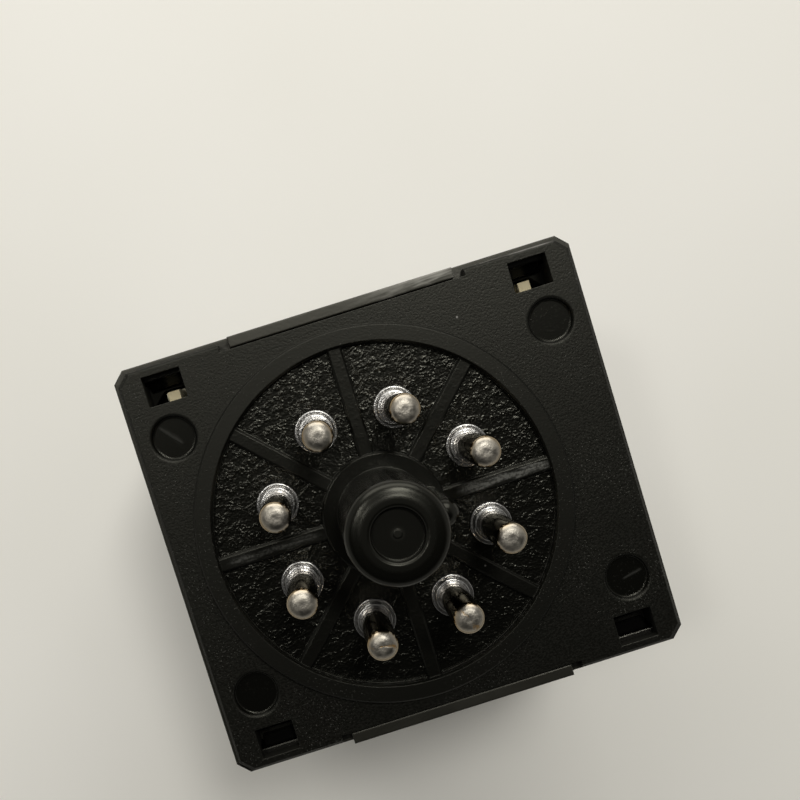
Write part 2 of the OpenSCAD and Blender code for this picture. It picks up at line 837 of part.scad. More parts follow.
module component_leads() {
    out = board_t + 0.7;
    res_y = res_r + res_lift;
    chord = disc_pitch / 2 - lead_r;
    reach = vdr_lift + vdr_r - sqrt(pow(vdr_r, 2) - pow(chord, 2)) - seat_fit;
    color("#b5b3ab") {
        for (p = box_leads)
            on_main(p)
                translate([0, 0, -out])
                    cylinder(r = lead_r, h = out);
        for (p = disc_leads)
            on_main(p)
                translate([0, 0, -out])
                    cylinder(r = lead_r, h = out + reach);
        for (p = res_at, s = [-1, 1])
            on_main(p + [s * res_pitch / 2, 0]) {
                translate([0, 0, -out])
                    cylinder(r = lead_r, h = out + res_y);
                translate([0, 0, res_y]) {
                    sphere(r = lead_r);
                    rotate([0, -s * 90, 0])
                        cylinder(r = lead_r, h = (res_pitch - res_l) / 2);
                }
            }
    }
}

module relay_base() {
    l = relay_l - 2 * cover_t - 2 * seat_fit;
    w = relay_w - 2 * cover_t - 2 * seat_fit;
    color("#26262a")
        on_relay()
            difference() {
                span([-l / 2, -w / 2, 0], [l / 2, w / 2, rbase_t]);
                for (x = [closed_x, open_leg_x], s = [-1, 1])
                    span([x - seat_fit, s * pole_y - blade_w / 2 - seat_fit, -1],
                        [x + strip_t + seat_fit, s * pole_y + blade_w / 2 + seat_fit, rbase_t + 1]);
            }
}

module relay_cover() {
    color("#8d9aa0", 0.4)
        on_relay()
            difference() {
                linear_extrude(relay_h)
                    oblong(relay_l, relay_w, 0.5);
                translate([0, 0, -1])
                    linear_extrude(relay_h - cover_t + 1)
                        oblong(relay_l - 2 * cover_t, relay_w - 2 * cover_t, 0);
            }
}

module relay_bobbin() {
    hole = core_r + seat_fit;
    color("#e6e2d6")
        on_relay()
            translate([coil_x, 0, coil_z])
                rotate_extrude()
                    polygon([[hole, 0], [winding_r + 0.5, 0], [winding_r + 0.5, flange_h],
                        [core_r + 0.6, flange_h], [core_r + 0.6, bobbin_h - flange_h],
                        [winding_r + 0.5, bobbin_h - flange_h], [winding_r + 0.5, bobbin_h],
                        [hole, bobbin_h]]);
}

module relay_winding() {
    color("#9c4f2a")
        on_relay()
            translate([coil_x, 0, coil_z + flange_h])
                difference() {
                    cylinder(r = winding_r, h = bobbin_h - 2 * flange_h);
                    translate([0, 0, -1])
                        cylinder(r = core_r + 0.6 + seat_fit / 2, h = bobbin_h);
                }
}

module relay_core() {
    color("#8b8c8e")
        on_relay()
            translate([coil_x, 0, rbase_t]) {
                cylinder(r = core_r, h = pole_z - rbase_t);
                translate([0, 0, pole_z - rbase_t - head_h])
                    cylinder(r = core_r + 1.5, h = head_h);
            }
}

module relay_yoke() {
    color("#94958f")
        on_relay() {
            difference() {
                span([yoke_x, -yoke_w / 2, rbase_t], [coil_x + core_r + 1, yoke_w / 2, coil_z]);
                translate([coil_x, 0, rbase_t - 1])
                    cylinder(r = core_r + seat_fit, h = iron_t + 2);
            }
            span([yoke_x, -yoke_w / 2, rbase_t], [yoke_x + iron_t, yoke_w / 2, pole_z]);
            span([yoke_x + tail_x, -1.2, spring_low - 0.8], [yoke_x + eps, 1.2, spring_low]);
        }
}

module relay_armature() {
    color("#a3a49f")
        on_relay()
            released() {
                span([yoke_x - 0.6, -yoke_w / 2, hinge_z], [coil_x + arm_reach, yoke_w / 2, arm_top]);
                span([yoke_x + tail_x, -1.2, hinge_z], [yoke_x, 1.2, arm_top]);
            }
}

module armature_block() {
    color("#d8d3c4")
        on_relay()
            released()
                slab_up([coil_x + block_reach[0], -pole_y - blade_w / 2 - 0.5, arm_top],
                    [coil_x + block_reach[1], pole_y + blade_w / 2 + 0.5, blade_z]);
}

module moving_contacts() {
    color("#b98a4d")
        on_relay()
            released()
                for (s = [-1, 1])
                    translate([0, s * pole_y, blade_z]) {
                        span([coil_x + 2, -blade_w / 2, 0], [contact_x + rivet_r, blade_w / 2, blade_t]);
                        translate([contact_x, 0, -rivet_h])
                            cylinder(r = rivet_r, h = blade_t + 2 * rivet_h);
                    }
}

// fixed contact strip: rivet side, bend height and leg place
module contact_strip(leg_x, z, x0, x1) {
    for (s = [-1, 1])
        translate([0, s * pole_y, 0]) {
            span([leg_x, -blade_w / 4, -tail_out], [leg_x + strip_t, blade_w / 4, eps]);
            span([leg_x, -blade_w / 2, 0], [leg_x + strip_t, blade_w / 2, z + strip_t]);
            span([x0, -blade_w / 2, z], [x1, blade_w / 2, z + strip_t]);
        }
}

module closed_contacts() {
    z = closed_z + rivet_h;
    color("#c2a060")
        on_relay() {
            contact_strip(closed_x, z, contact_x - rivet_r - 0.4, closed_x + strip_t);
            for (s = [-1, 1])
                translate([contact_x, s * pole_y, closed_z])
                    cylinder(r = rivet_r, h = rivet_h + eps);
        }
}

module open_contacts() {
    z = open_z - rivet_h - strip_t;
    color("#c2a060")
        on_relay() {
            contact_strip(open_leg_x, z, open_leg_x, contact_x + rivet_r);
            for (s = [-1, 1])
                translate([contact_x, s * pole_y, open_z - rivet_h - eps])
                    cylinder(r = rivet_r, h = rivet_h + eps);
        }
}

module return_spring() {
    wire = (spring_top - spring_low) / spring_turns / 2;
    color("#9a9b9d")
        on_relay()
            translate([yoke_x + tail_x / 2 - 0.3, 0, spring_low])
                rotate_extrude()
                    difference() {
                        union() {
                            square([spring_r - wire, spring_top - spring_low]);
                            for (i = [0:spring_turns - 1])
                                translate([spring_r - wire, (2 * i + 1) * wire])
                                    circle(wire);
                        }
                        translate([-spring_r, -1])
                            square([spring_r, spring_top + 2]);
                    }
}

base();
for (n = [1:8])
    pin(n);
case();
knob();
pot_shaft();
pot_body();
range_selector();
range_switch();
power_lens();
output_lens();
power_led();
output_led();
front_board();
main_board();
pin_board();
pin_joints();
board_links();
timer_chip();
chip_legs();
filter_capacitor();
dropper_capacitor();
varistor();
resistors();
component_leads();
relay_base();
relay_cover();
relay_bobbin();
relay_winding();
relay_core();
relay_yoke();
relay_armature();
armature_block();
moving_contacts();
closed_contacts();
open_contacts();
return_spring();
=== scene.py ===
import json

import bpy
import numpy as np
from mathutils import Matrix, Vector


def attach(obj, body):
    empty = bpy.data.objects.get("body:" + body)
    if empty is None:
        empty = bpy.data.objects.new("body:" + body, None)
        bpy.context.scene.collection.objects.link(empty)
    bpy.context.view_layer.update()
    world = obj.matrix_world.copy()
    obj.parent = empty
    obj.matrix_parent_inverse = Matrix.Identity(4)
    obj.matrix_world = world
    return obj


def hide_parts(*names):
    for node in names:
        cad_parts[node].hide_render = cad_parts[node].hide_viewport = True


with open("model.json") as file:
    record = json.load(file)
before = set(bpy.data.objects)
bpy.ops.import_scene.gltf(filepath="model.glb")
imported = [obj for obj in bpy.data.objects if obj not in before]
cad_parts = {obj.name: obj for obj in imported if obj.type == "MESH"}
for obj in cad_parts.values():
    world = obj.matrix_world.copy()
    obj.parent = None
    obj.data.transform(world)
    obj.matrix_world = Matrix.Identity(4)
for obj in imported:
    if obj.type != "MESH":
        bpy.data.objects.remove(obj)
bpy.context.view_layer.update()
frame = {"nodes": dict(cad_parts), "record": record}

nodes = frame["nodes"]
mm = 0.001
plugAxis, recessFloor = -1.54, 61.9  # X of the plug's axis and height of the floor around the pins, in mm
scene = bpy.context.scene
scene.view_settings.view_transform = "Standard"

# the photograph's view: place in mm, turn as an axis times degrees, lens and sensor in mm, shift in widths,
# nearest and farthest in m
photoView = dict(place=(-4.815, 11.559, 164.494), turn=(3.8327, -1.0752, -17.3789), focal=56.837, sensor=36,
                 shift=(0.075, 0.0875), clip=(0.005, 30))


def addCamera(spec):
    # rows of the turned frame are the picture's right, down and depth directions
    spin = Vector(np.radians(spec["turn"]))
    looks = Matrix.Rotation(spin.length, 3, spin.normalized()) @ Matrix.Diagonal((1, -1, -1))
    lens = bpy.data.cameras.new("photoCamera")
    lens.lens = spec["focal"]
    lens.sensor_fit = "HORIZONTAL"
    lens.sensor_width = spec["sensor"]
    lens.shift_x, lens.shift_y = spec["shift"]
    lens.clip_start, lens.clip_end = spec["clip"]
    made = bpy.data.objects.new("photoCamera", lens)
    made.matrix_world = Matrix.Translation(Vector(spec["place"]) * mm) @ Matrix(
        (looks[0], -looks[1], -looks[2])).transposed().to_4x4()
    scene.collection.objects.link(made)
    scene.camera = made
    return -looks[1], looks[0]


pictureUp, pictureRight = addCamera(photoView)
print("camera set, picture up is", [round(v, 3) for v in pictureUp])


def put(tree, kind, values=None, **settings):
    # a new node: settings are its own, values go to its inputs as links or as fixed values
    made = tree.nodes.new(kind)
    for key, value in settings.items():
        setattr(made, key, value)
    for key, value in (values or {}).items():
        if isinstance(value, bpy.types.NodeSocket):
            tree.links.new(value, made.inputs[key])
        else:
            made.inputs[key].default_value = value
    return made


def calc(tree, how, *terms):
    return put(tree, "ShaderNodeMath", dict(enumerate(terms)), operation=how).outputs[0]


def chained(tree, how, values):
    result = values[0]
    for value in values[1:]:
        result = calc(tree, how, result, value)
    return result


def product(tree, *values):
    return chained(tree, "MULTIPLY", values)


def total(tree, *values):
    return chained(tree, "ADD", values)


def most(tree, *values):
    return chained(tree, "MAXIMUM", values)


def minus(tree, a, b):
    return calc(tree, "SUBTRACT", a, b)


def without(tree, mask):
    # what a mask leaves over
    return minus(tree, 1.0, mask)


def size(tree, value):
    return calc(tree, "ABSOLUTE", value)


def reach(tree, a, b):
    # length of a flat step (a, b)
    return calc(tree, "SQRT", total(tree, product(tree, a, a), product(tree, b, b)))


def fade(tree, value, low, high, outLow=0.0, outHigh=1.0):
    # value from low to high becomes outLow to outHigh along a soft S
    values = {"Value": value, "From Min": low, "From Max": high, "To Min": outLow, "To Max": outHigh}
    return put(tree, "ShaderNodeMapRange", values, interpolation_type="SMOOTHSTEP").outputs["Result"]


def fadeMm(tree, value, low, high, outLow=0.0, outHigh=1.0):
    # the same for a length, with low and high in mm
    return fade(tree, value, low * mm, high * mm, outLow, outHigh)


def blend(tree, mask, under, over):
    # value under where the mask is 0, over where it is 1
    return fade(tree, mask, 0.0, 1.0, under, over)


def within(tree, value, at, half):
    # 1 where the value, on either side of zero, is less than half away from at, in mm
    return calc(tree, "LESS_THAN", size(tree, minus(tree, size(tree, value), at * mm)), half * mm)


def tint(tree, mask, under, over):
    # colour under where the mask is 0, over where it is 1
    first, second = ((*value, 1) if isinstance(value, tuple) else value for value in (under, over))
    return put(tree, "ShaderNodeMix", {0: mask, 6: first, 7: second}, data_type="RGBA").outputs[2]


def noise(tree, place, scale, detail, roughness=0.5):
    values = {"Vector": place, "Scale": scale, "Detail": detail, "Roughness": roughness}
    return put(tree, "ShaderNodeTexNoise", values).outputs["Fac"]


def newGroup(name, takes, gives):
    tree = bpy.data.node_groups.new(name, "ShaderNodeTree")
    for label, value in takes.items():
        tree.interface.new_socket(label, in_out="INPUT", socket_type="NodeSocketFloat").default_value = value
    for label in gives:
        tree.interface.new_socket(label, in_out="OUTPUT", socket_type="NodeSocketFloat")
    return tree, tree.nodes.new("NodeGroupInput").outputs, tree.nodes.new("NodeGroupOutput").inputs


def useGroup(tree, group, **values):
    return put(tree, "ShaderNodeGroup", values, node_tree=group).outputs


def objectPlace(tree):
    return tree.nodes.new("ShaderNodeTexCoord").outputs["Object"]


def axes(tree, vector=None):
    # x, y and z of a vector, or of the place on the piece
    vector = objectPlace(tree) if vector is None else vector
    return put(tree, "ShaderNodeSeparateXYZ", {"Vector": vector}).outputs


def faceNormal(tree):
    return tree.nodes.new("ShaderNodeNewGeometry").outputs["Normal"]


def makeMouldGrain():
    # height of a moulded skin: cloudy noise plus round bowls; tone drifts over several mm, specks are sparse
    takesAll = {"Scale": 4000.0, "Pits": 0.0, "Detail": 3.0}
    tree, takes, gives = newGroup("mouldGrain", takesAll, ("Height", "Tone", "Speck"))
    place = objectPlace(tree)
    cloud = noise(tree, place, takes["Scale"], takes["Detail"], 0.62)
    cells = put(tree, "ShaderNodeTexVoronoi", {"Vector": place, "Scale": product(tree, takes["Scale"], 0.8)})
    away = cells.outputs["Distance"]
    tree.links.new(total(tree, cloud, product(tree, away, away, takes["Pits"])), gives["Height"])
    drift = noise(tree, place, 160.0, 3.0, 0.55)
    tree.links.new(fade(tree, drift, 0.3, 0.7), gives["Tone"])
    sparse = noise(tree, place, product(tree, takes["Scale"], 1.1), 1.0)
    tree.links.new(fade(tree, sparse, 0.63, 0.75), gives["Speck"])
    return tree


def makeEdgeWear():
    # how far a rounded edge's normal leans from the face's own, broken up by noise
    tree, takes, gives = newGroup("edgeWear", {"Radius": 0.00015, "Broken": 0.5}, ("Mask",))
    soft = put(tree, "ShaderNodeBevel", {"Radius": takes["Radius"]}, samples=6).outputs[0]
    both = {0: soft, 1: faceNormal(tree)}
    lean = put(tree, "ShaderNodeVectorMath", both, operation="DOT_PRODUCT").outputs["Value"]
    edge = fade(tree, lean, 0.985, 0.8)
    chips = fade(tree, noise(tree, objectPlace(tree), 1400.0, 3.0), 0.42, 0.62)
    kept = total(tree, product(tree, chips, takes["Broken"]), without(tree, takes["Broken"]))
    tree.links.new(product(tree, edge, kept), gives["Mask"])
    return tree


def makeDust():
    # round specks of mixed size in a few of many small cells, on faces that look up
    tree, takes, gives = newGroup("restingDust", {"Scale": 700.0, "Share": 0.06}, ("Mask",))
    cells = put(tree, "ShaderNodeTexVoronoi", {"Vector": objectPlace(tree), "Scale": takes["Scale"]}).outputs
    pick = put(tree, "ShaderNodeSeparateColor", {"Color": cells["Color"]}).outputs
    chosen = calc(tree, "LESS_THAN", pick[0], takes["Share"])
    wide = fade(tree, pick[1], 0.0, 1.0, 0.03, 0.11)
    dot = fade(tree, calc(tree, "DIVIDE", cells["Distance"], wide), 1.0, 0.4)
    facing = fade(tree, axes(tree, faceNormal(tree))[2], 0.5, 0.9)
    tree.links.new(product(tree, chosen, dot, facing), gives["Mask"])
    return tree


def makeScuff():
    # a stripe on a level face, from a point along a direction, in streaks that run along it; it marks rubbed
    # scuffs, and also painted highlights and a painted glint
    takesAll = {"FromX": 0.0, "FromY": 0.0, "AlongX": 1.0, "AlongY": 0.0,
                "Length": 0.002, "Width": 0.0002, "Ramp": 0.15}
    tree, takes, gives = newGroup("streakStripe", takesAll, ("Mask",))
    place = axes(tree)
    x, y = minus(tree, place[0], takes["FromX"]), minus(tree, place[1], takes["FromY"])
    along = total(tree, product(tree, x, takes["AlongX"]), product(tree, y, takes["AlongY"]))
    off = minus(tree, product(tree, x, takes["AlongY"]), product(tree, y, takes["AlongX"]))
    flow = put(tree, "ShaderNodeCombineXYZ", {0: along, 1: product(tree, off, 9.0)}).outputs[0]
    ragged = noise(tree, flow, 500.0, 3.0)
    beside = calc(tree, "DIVIDE", size(tree, off), takes["Width"])
    stripe = fade(tree, total(tree, beside, product(tree, ragged, 2.2)), 1.95, 0.95)
    share = calc(tree, "DIVIDE", along, takes["Length"])
    ends = product(tree, fade(tree, share, 0.0, takes["Ramp"]), fade(tree, share, 1.0, 0.85))
    tree.links.new(product(tree, stripe, ends), gives["Mask"])
    return tree


def makeTracks():
    # runs of copper under the resist: about half the cells of staggered rows, on a level or an upright board
    tree, takes, gives = newGroup("boardTracks", {"Upright": 0.0, "Row": 1.27, "Long": 9.0}, ("Mask",))
    x, y, z = axes(tree)
    level = product(tree, y, without(tree, takes["Upright"]))
    second = total(tree, level, product(tree, z, takes["Upright"]))
    flat = put(tree, "ShaderNodeCombineXYZ", {0: x, 1: second}).outputs[0]
    rows = put(tree, "ShaderNodeTexBrick", {
        "Vector": flat, "Scale": 1000.0, "Brick Width": takes["Long"], "Row Height": takes["Row"],
        "Mortar Size": 0.33, "Mortar Smooth": 0.2, "Color1": (0, 0, 0, 1), "Color2": (1, 1, 1, 1),
        "Mortar": (0, 0, 0, 1)}, offset=0.35).outputs["Color"]
    picked = put(tree, "ShaderNodeSeparateColor", {"Color": rows}).outputs[0]
    tree.links.new(fade(tree, picked, 0.45, 0.55), gives["Mask"])
    return tree


mouldGrain, edgeWear, restingDust = makeMouldGrain(), makeEdgeWear(), makeDust()
streakStripe, boardTracks = makeScuff(), makeTracks()


def scuffMask(tree, row, ramp=0.15):
    # one stripe from its start and direction, with its length and width in mm
    start, along, length, width = row
    return useGroup(tree, streakStripe, FromX=start[0] * mm, FromY=start[1] * mm, AlongX=along[0],
                    AlongY=along[1], Length=length * mm, Width=width * mm, Ramp=ramp)["Mask"]


def newFinish(name, roughness=0.5, metal=0.0, specular=0.5, sheen=(1.0, 1.0, 1.0)):
    made = bpy.data.materials.new(name)
    made.use_nodes = True
    tree = made.node_tree
    skin = tree.nodes["Principled BSDF"]
    skin.inputs["Roughness"].default_value = roughness
    skin.inputs["Metallic"].default_value = metal
    skin.inputs["Specular IOR Level"].default_value = specular
    skin.inputs["Specular Tint"].default_value = (*sheen, 1)
    return made, tree, skin


def relief(tree, skin, height, depth, radius=0.0):
    # height as bump, over edges that are rounded by radius
    bump = put(tree, "ShaderNodeBump", {"Height": height, "Distance": depth, "Strength": 1.0})
    if radius:
        soft = put(tree, "ShaderNodeBevel", {"Radius": radius}, samples=8)
        tree.links.new(soft.outputs[0], bump.inputs["Normal"])
    tree.links.new(bump.outputs[0], skin.inputs["Normal"])


# black moulding of the base: places and roundings in mm; scuffs, the painted highlights on two ribs and the
# painted glint on the scratch by the edge as from, along, length and width; heights in shares of the relief,
# which is in m
baseLook = dict(
    skin=(0.0019, 0.0019, 0.0014), sheen=(1.0, 0.99, 0.84), worn=(0.02, 0.02, 0.018),
    rubbedAndLit=(0.09, 0.09, 0.082), dust=(0.32, 0.31, 0.29),
    plugAxis=plugAxis, recessIn=5.15, recessOut=13.95, recessTop=62.05, ringTop=62.6,
    markAt=(16.0, 11.0), markOut=1.85, markTop=61.85, ejectorAt=(12.17, -14.71), ejectorOut=1.15,
    slotAt=(15.5, 15.15), slotHalf=(1.8, 1.45), slotTop=(61.97, 61.9), tipFrom=(75.6, 76.0),
    gateOut=(0.4, 0.6), dimpleOut=(2.5, 3.0), rimOut=(2.3, 2.6), slopeOut=(2.8, 3.9),
    scuffs=(((-17.0, 12.3), (0.64, -0.77), 2.6, 0.34), ((15.6, -11.1), (0.98, 0.2), 1.9, 0.24)),
    ribHighlights=(((4.3, 0.0), (1.0, 0.0), 8.6, 0.6), ((-15.2, 0.0), (1.0, 0.0), 8.4, 0.45)),
    edgeScratchGlint=((10.6, 17.2), (1.0, -0.02), 7.8, 0.16),
    scuffAndHighlightShare=0.22, leftRibShare=0.35, edgeScratchGlintShare=0.5, fleckShare=0.45, wearShare=0.4, dustShare=0.6,
    plateGrain=5600.0, recessGrain=4600.0, clumpGrain=1700.0, relief=0.00005, specular=0.25,
    plateHeight=0.27, fleckHeight=0.5, recessHeight=1.1, ribHeight=0.2, tipHeight=5.0,
    rounding=0.08, markRounding=0.25, dimpleRounding=0.12, tipRounding=0.8,
    plateRough=(0.32, 0.42), recessRough=0.23, ribRough=0.28, markRough=0.22, slotRough=0.8, ringRough=0.35,
    gateRough=0.36, dimpleRough=0.28, postRough=0.23)


def baseZones(tree, spec):
    # masks of the moulding's zones, and the distance from the plug's axis
    x, y, z = axes(tree)
    recessIn, recessOut, recessTop = spec["recessIn"], spec["recessOut"], spec["recessTop"]
    radius = reach(tree, total(tree, x, -spec["plugAxis"] * mm), y)
    wheel = product(tree, fadeMm(tree, radius, recessIn - 0.1, recessIn + 0.1),
                    fadeMm(tree, radius, recessOut + 0.1, recessOut - 0.1))
    low = fadeMm(tree, z, recessTop + 0.06, recessTop - 0.06)
    ring = product(tree, fadeMm(tree, radius, recessOut, recessOut + 0.1),
                   fadeMm(tree, z, spec["ringTop"] - 0.1, spec["ringTop"]))
    post = fadeMm(tree, radius, recessIn + 0.1, recessIn - 0.1)
    markAt, markOut, markTop = spec["markAt"], spec["markOut"], spec["markTop"]
    besideMark = reach(tree, *(minus(tree, size(tree, v), at * mm) for v, at in zip((x, y), markAt)))
    mark = product(tree, fadeMm(tree, besideMark, markOut + 0.05, markOut - 0.1),
                   fadeMm(tree, z, markTop + 0.04, markTop - 0.04))
    besideEjector = reach(tree, *(minus(tree, v, at * mm) for v, at in zip((x, y), spec["ejectorAt"])))
    ejector = fadeMm(tree, besideEjector, spec["ejectorOut"], spec["ejectorOut"] - 0.12)
    slots = product(tree, *(within(tree, *row) for row in zip((x, y), spec["slotAt"], spec["slotHalf"])),
                    fadeMm(tree, z, *spec["slotTop"]))
    plain = most(tree, post, slots, product(tree, mark, 0.85), product(tree, ring, 0.6),
                 product(tree, ejector, 0.3))
    return dict(radius=radius, wheel=wheel, recess=product(tree, wheel, low),
                ribs=product(tree, wheel, without(tree, low)), ring=ring, post=post,
                tip=product(tree, post, fadeMm(tree, z, *spec["tipFrom"])), mark=mark,
                nearMark=fadeMm(tree, besideMark, markOut + 0.3, markOut + 0.2), ejector=ejector, slots=slots,
                plain=plain)


def shapeBase(tree, skin, spec, zone, fine, flecks):
    # shallow grain with clustered flecks on the plate, steep rough grain in the recess, a little on the ribs
    plate = total(tree, product(tree, fine["Height"], spec["plateHeight"]),
                  product(tree, flecks, spec["fleckHeight"]))
    shallow = product(tree, plate, blend(tree, zone["plain"], 1.0, 0.1), without(tree, zone["wheel"]))
    coarse = useGroup(tree, mouldGrain, Scale=spec["recessGrain"], Detail=1.0)["Height"]
    clumps = fade(tree, noise(tree, objectPlace(tree), spec["clumpGrain"], 2.0), 0.43, 0.64, 0.45, 1.0)
    grainy = total(tree, zone["recess"], product(tree, zone["ribs"], spec["ribHeight"]))
    deep = product(tree, coarse, clumps, spec["recessHeight"], grainy)
    # soft edges, and a fuller rounding of the post's tip
    edges = blend(tree, zone["nearMark"], spec["rounding"] * mm, spec["markRounding"] * mm)
    tipEdges = fadeMm(tree, zone["radius"], *spec["rimOut"], spec["dimpleRounding"] * mm,
                      spec["tipRounding"] * mm)
    fuller = product(tree, zone["tip"],
                     fadeMm(tree, zone["radius"], *spec["slopeOut"], 0.0, spec["tipHeight"]))
    relief(tree, skin, total(tree, deep, shallow, fuller), spec["relief"],
           blend(tree, zone["tip"], edges, tipEdges))


def colourBase(tree, spec, zone, fine, flecks):
    # worn edges and rubbed scuffs on the marks are paler; the ribs' paler streaky stripes are painted
    # highlight; dust lies over all, and its pale colour also paints the glint on the scratch by the edge
    wear = useGroup(tree, edgeWear, Radius=0.0001, Broken=0.6)["Mask"]
    dust = useGroup(tree, restingDust, Scale=800.0, Share=0.03)["Mask"]
    scuffs = most(tree, *(scuffMask(tree, row) for row in spec["scuffs"]))
    # the stripes on two ribs are painted highlight, where their tops catch the lamp
    rightRib, leftRib = (scuffMask(tree, row) for row in spec["ribHighlights"])
    ribHighlights = most(tree, rightRib, product(tree, leftRib, spec["leftRibShare"]))
    streaks = fade(tree, fine["Height"], 0.36, 0.62, 0.5, 1.6)
    rubbedAndLit = total(tree, product(tree, scuffs, zone["mark"], spec["scuffAndHighlightShare"]),
                   product(tree, ribHighlights, zone["ribs"], streaks))
    grained = product(tree, flecks, without(tree, zone["wheel"]), without(tree, zone["plain"]),
                      spec["fleckShare"])
    toned = tint(tree, product(tree, wear, spec["wearShare"]), spec["skin"], spec["worn"])
    toned = tint(tree, most(tree, rubbedAndLit, grained), toned, spec["rubbedAndLit"])
    # the scratch by the plate's edge is painted bright with dust's colour as a painted glint
    edgeScratchGlint = product(tree, scuffMask(tree, spec["edgeScratchGlint"]), spec["edgeScratchGlintShare"])
    return tint(tree, most(tree, product(tree, dust, spec["dustShare"]), edgeScratchGlint), toned, spec["dust"])


def polishBase(tree, spec, zone, fine):
    # mottled roughness of the plate, then each zone's own
    rough = fade(tree, fine["Height"], 0.36, 0.64, *spec["plateRough"])
    pressed = most(tree, zone["mark"], product(tree, zone["ejector"], 0.15))
    dimple = fadeMm(tree, zone["radius"], *spec["gateOut"], spec["gateRough"], spec["dimpleRough"])
    polish = fadeMm(tree, zone["radius"], *spec["dimpleOut"], dimple, spec["postRough"])
    for mask, value in ((zone["recess"], spec["recessRough"]), (zone["ribs"], spec["ribRough"]),
                        (pressed, spec["markRough"]), (zone["slots"], spec["slotRough"]),
                        (zone["ring"], spec["ringRough"]), (zone["post"], polish)):
        rough = blend(tree, mask, rough, value)
    return rough


def makeBasePlastic(spec):
    made, tree, skin = newFinish("blackMoulding", specular=spec["specular"], sheen=spec["sheen"])
    zone = baseZones(tree, spec)
    fine = useGroup(tree, mouldGrain, Scale=spec["plateGrain"], Detail=1.0)
    flecks = product(tree, fine["Speck"], fade(tree, fine["Tone"], 0.2, 0.8, 0.1, 1.0))
    shapeBase(tree, skin, spec, zone, fine, flecks)
    tree.links.new(colourBase(tree, spec, zone, fine, flecks), skin.inputs["Base Color"])
    tree.links.new(polishBase(tree, spec, zone, fine), skin.inputs["Roughness"])
    return made


# satin case: a painted highlight, a pale streaky stripe, lies on the tab beside the plate, and the inside
# within the walls is painted near black as shade; places in mm, relief and rounding in m
caseLook = dict(skin=(0.007, 0.0066, 0.0046), sheen=(1.0, 0.98, 0.84), worn=(0.03, 0.03, 0.027),
                rubbedAndLit=(0.26, 0.255, 0.23), dust=(0.32, 0.31, 0.29), paintedShade=(0.001, 0.001, 0.001),
                tabHighlight=((-1.0, 17.3), (1.0, 0.02), 12.5, 1.0), tabHighlightRamp=0.8, tabHighlightTop=(61.8, 61.88),
                inside=(19.3, 17.3), insideTop=(61.7, 61.6), scuffAndHighlightShare=0.9, wearShare=0.5, dustShare=0.6,
                rough=(0.38, 0.46), insideRough=0.3, relief=0.00001, rounding=0.0002)


def makeCasePlastic(spec):
    made, tree, skin = newFinish("satinCase", sheen=spec["sheen"])
    x, y, z = axes(tree)
    fine = useGroup(tree, mouldGrain, Scale=3600.0, Pits=0.1)
    wear = useGroup(tree, edgeWear, Radius=0.00014, Broken=0.55)["Mask"]
    dust = useGroup(tree, restingDust, Scale=600.0, Share=0.02)["Mask"]
    # a pale streaky stripe along the tab, brightest at its far end: painted highlight for the tab's glossy
    # reflection
    rubbedAndLit = product(tree, scuffMask(tree, spec["tabHighlight"], spec["tabHighlightRamp"]),
                     fadeMm(tree, z, *spec["tabHighlightTop"]), spec["scuffAndHighlightShare"])
    inside = product(tree, *(within(tree, v, 0.0, half) for v, half in zip((x, y), spec["inside"])),
                     fadeMm(tree, z, *spec["insideTop"]))
    relief(tree, skin, fine["Height"], spec["relief"], spec["rounding"])
    # within the walls the case is painted near black: painted shade
    toned = tint(tree, inside, spec["skin"], spec["paintedShade"])
    toned = tint(tree, product(tree, wear, spec["wearShare"]), toned, spec["worn"])
    toned = tint(tree, rubbedAndLit, toned, spec["rubbedAndLit"])
    toned = tint(tree, product(tree, dust, spec["dustShare"]), toned, spec["dust"])
    tree.links.new(toned, skin.inputs["Base Color"])
    rough = blend(tree, fine["Tone"], *spec["rough"])
    tree.links.new(blend(tree, inside, rough, spec["insideRough"]), skin.inputs["Roughness"])
    return made


# nickel plated pins in mm: outline as radius, height and fillet, below the dome of the tip; pit as depth and
# radius. Zones of wear are distances below the tip, rises are distances above the collar, and the slant turns
# by radians from pin to pin
pinLook = dict(
    count=8, circle=17.45, plugAxis=plugAxis, first=-22.5, step=-45.0, collar=62.6, tip=73.1, shaft=1.18,
    dome=0.6, domeSteps=26, blunt=0.77, pit=(0.025, 0.26), turns=72, oval=0.018, slant=0.05,
    slantTurn=1.7, chipped=(2, 3), chipZone=(0.6, 0.2), chipDeep=0.5, chipLobes=(0.6, 0.4), lost=0.05,
    lostFrom=0.1, stainZone=(0.1, 0.4), stainRise=(2, 7), leastStain=0.15, handledZone=(0.38, 0.1),
    # centreOut: radius of the tip's centre that is painted darker, a painted reflection of the dark overhead
    collarRise=0.05, centreOut=0.32,
    nickel=(0.36, 0.335, 0.285), collarTone=(0.36, 0.355, 0.34), tarnish=(0.26, 0.175, 0.075),
    dark=(0.15, 0.14, 0.125), brass=(0.3, 0.19, 0.08),
    shaftRough=0.1, tipRough=0.33, collarRough=0.24, relief=0.000016,
    outline=((0, 52.0, 0), (0.7, 52.0, 0.05), (0.9, 52.2, 0.05), (0.9, 57.9, 0.05), (1.45, 57.9, 0.08),
             (1.55, 58.54, 0.05), (0.9, 58.54, 0.02), (0.9, 61.9, 0.02), (1.75, 61.9, 0.02),
             (1.75, 62.25, 0.12), (1.5, 62.25, 0.04), (1.43, 62.2, 0.03), (1.45, 62.59, 0.14),
             (1.19, 62.6, 0.05), (1.18, 63.0, 0.02), (1.18, 72.0, 0)))


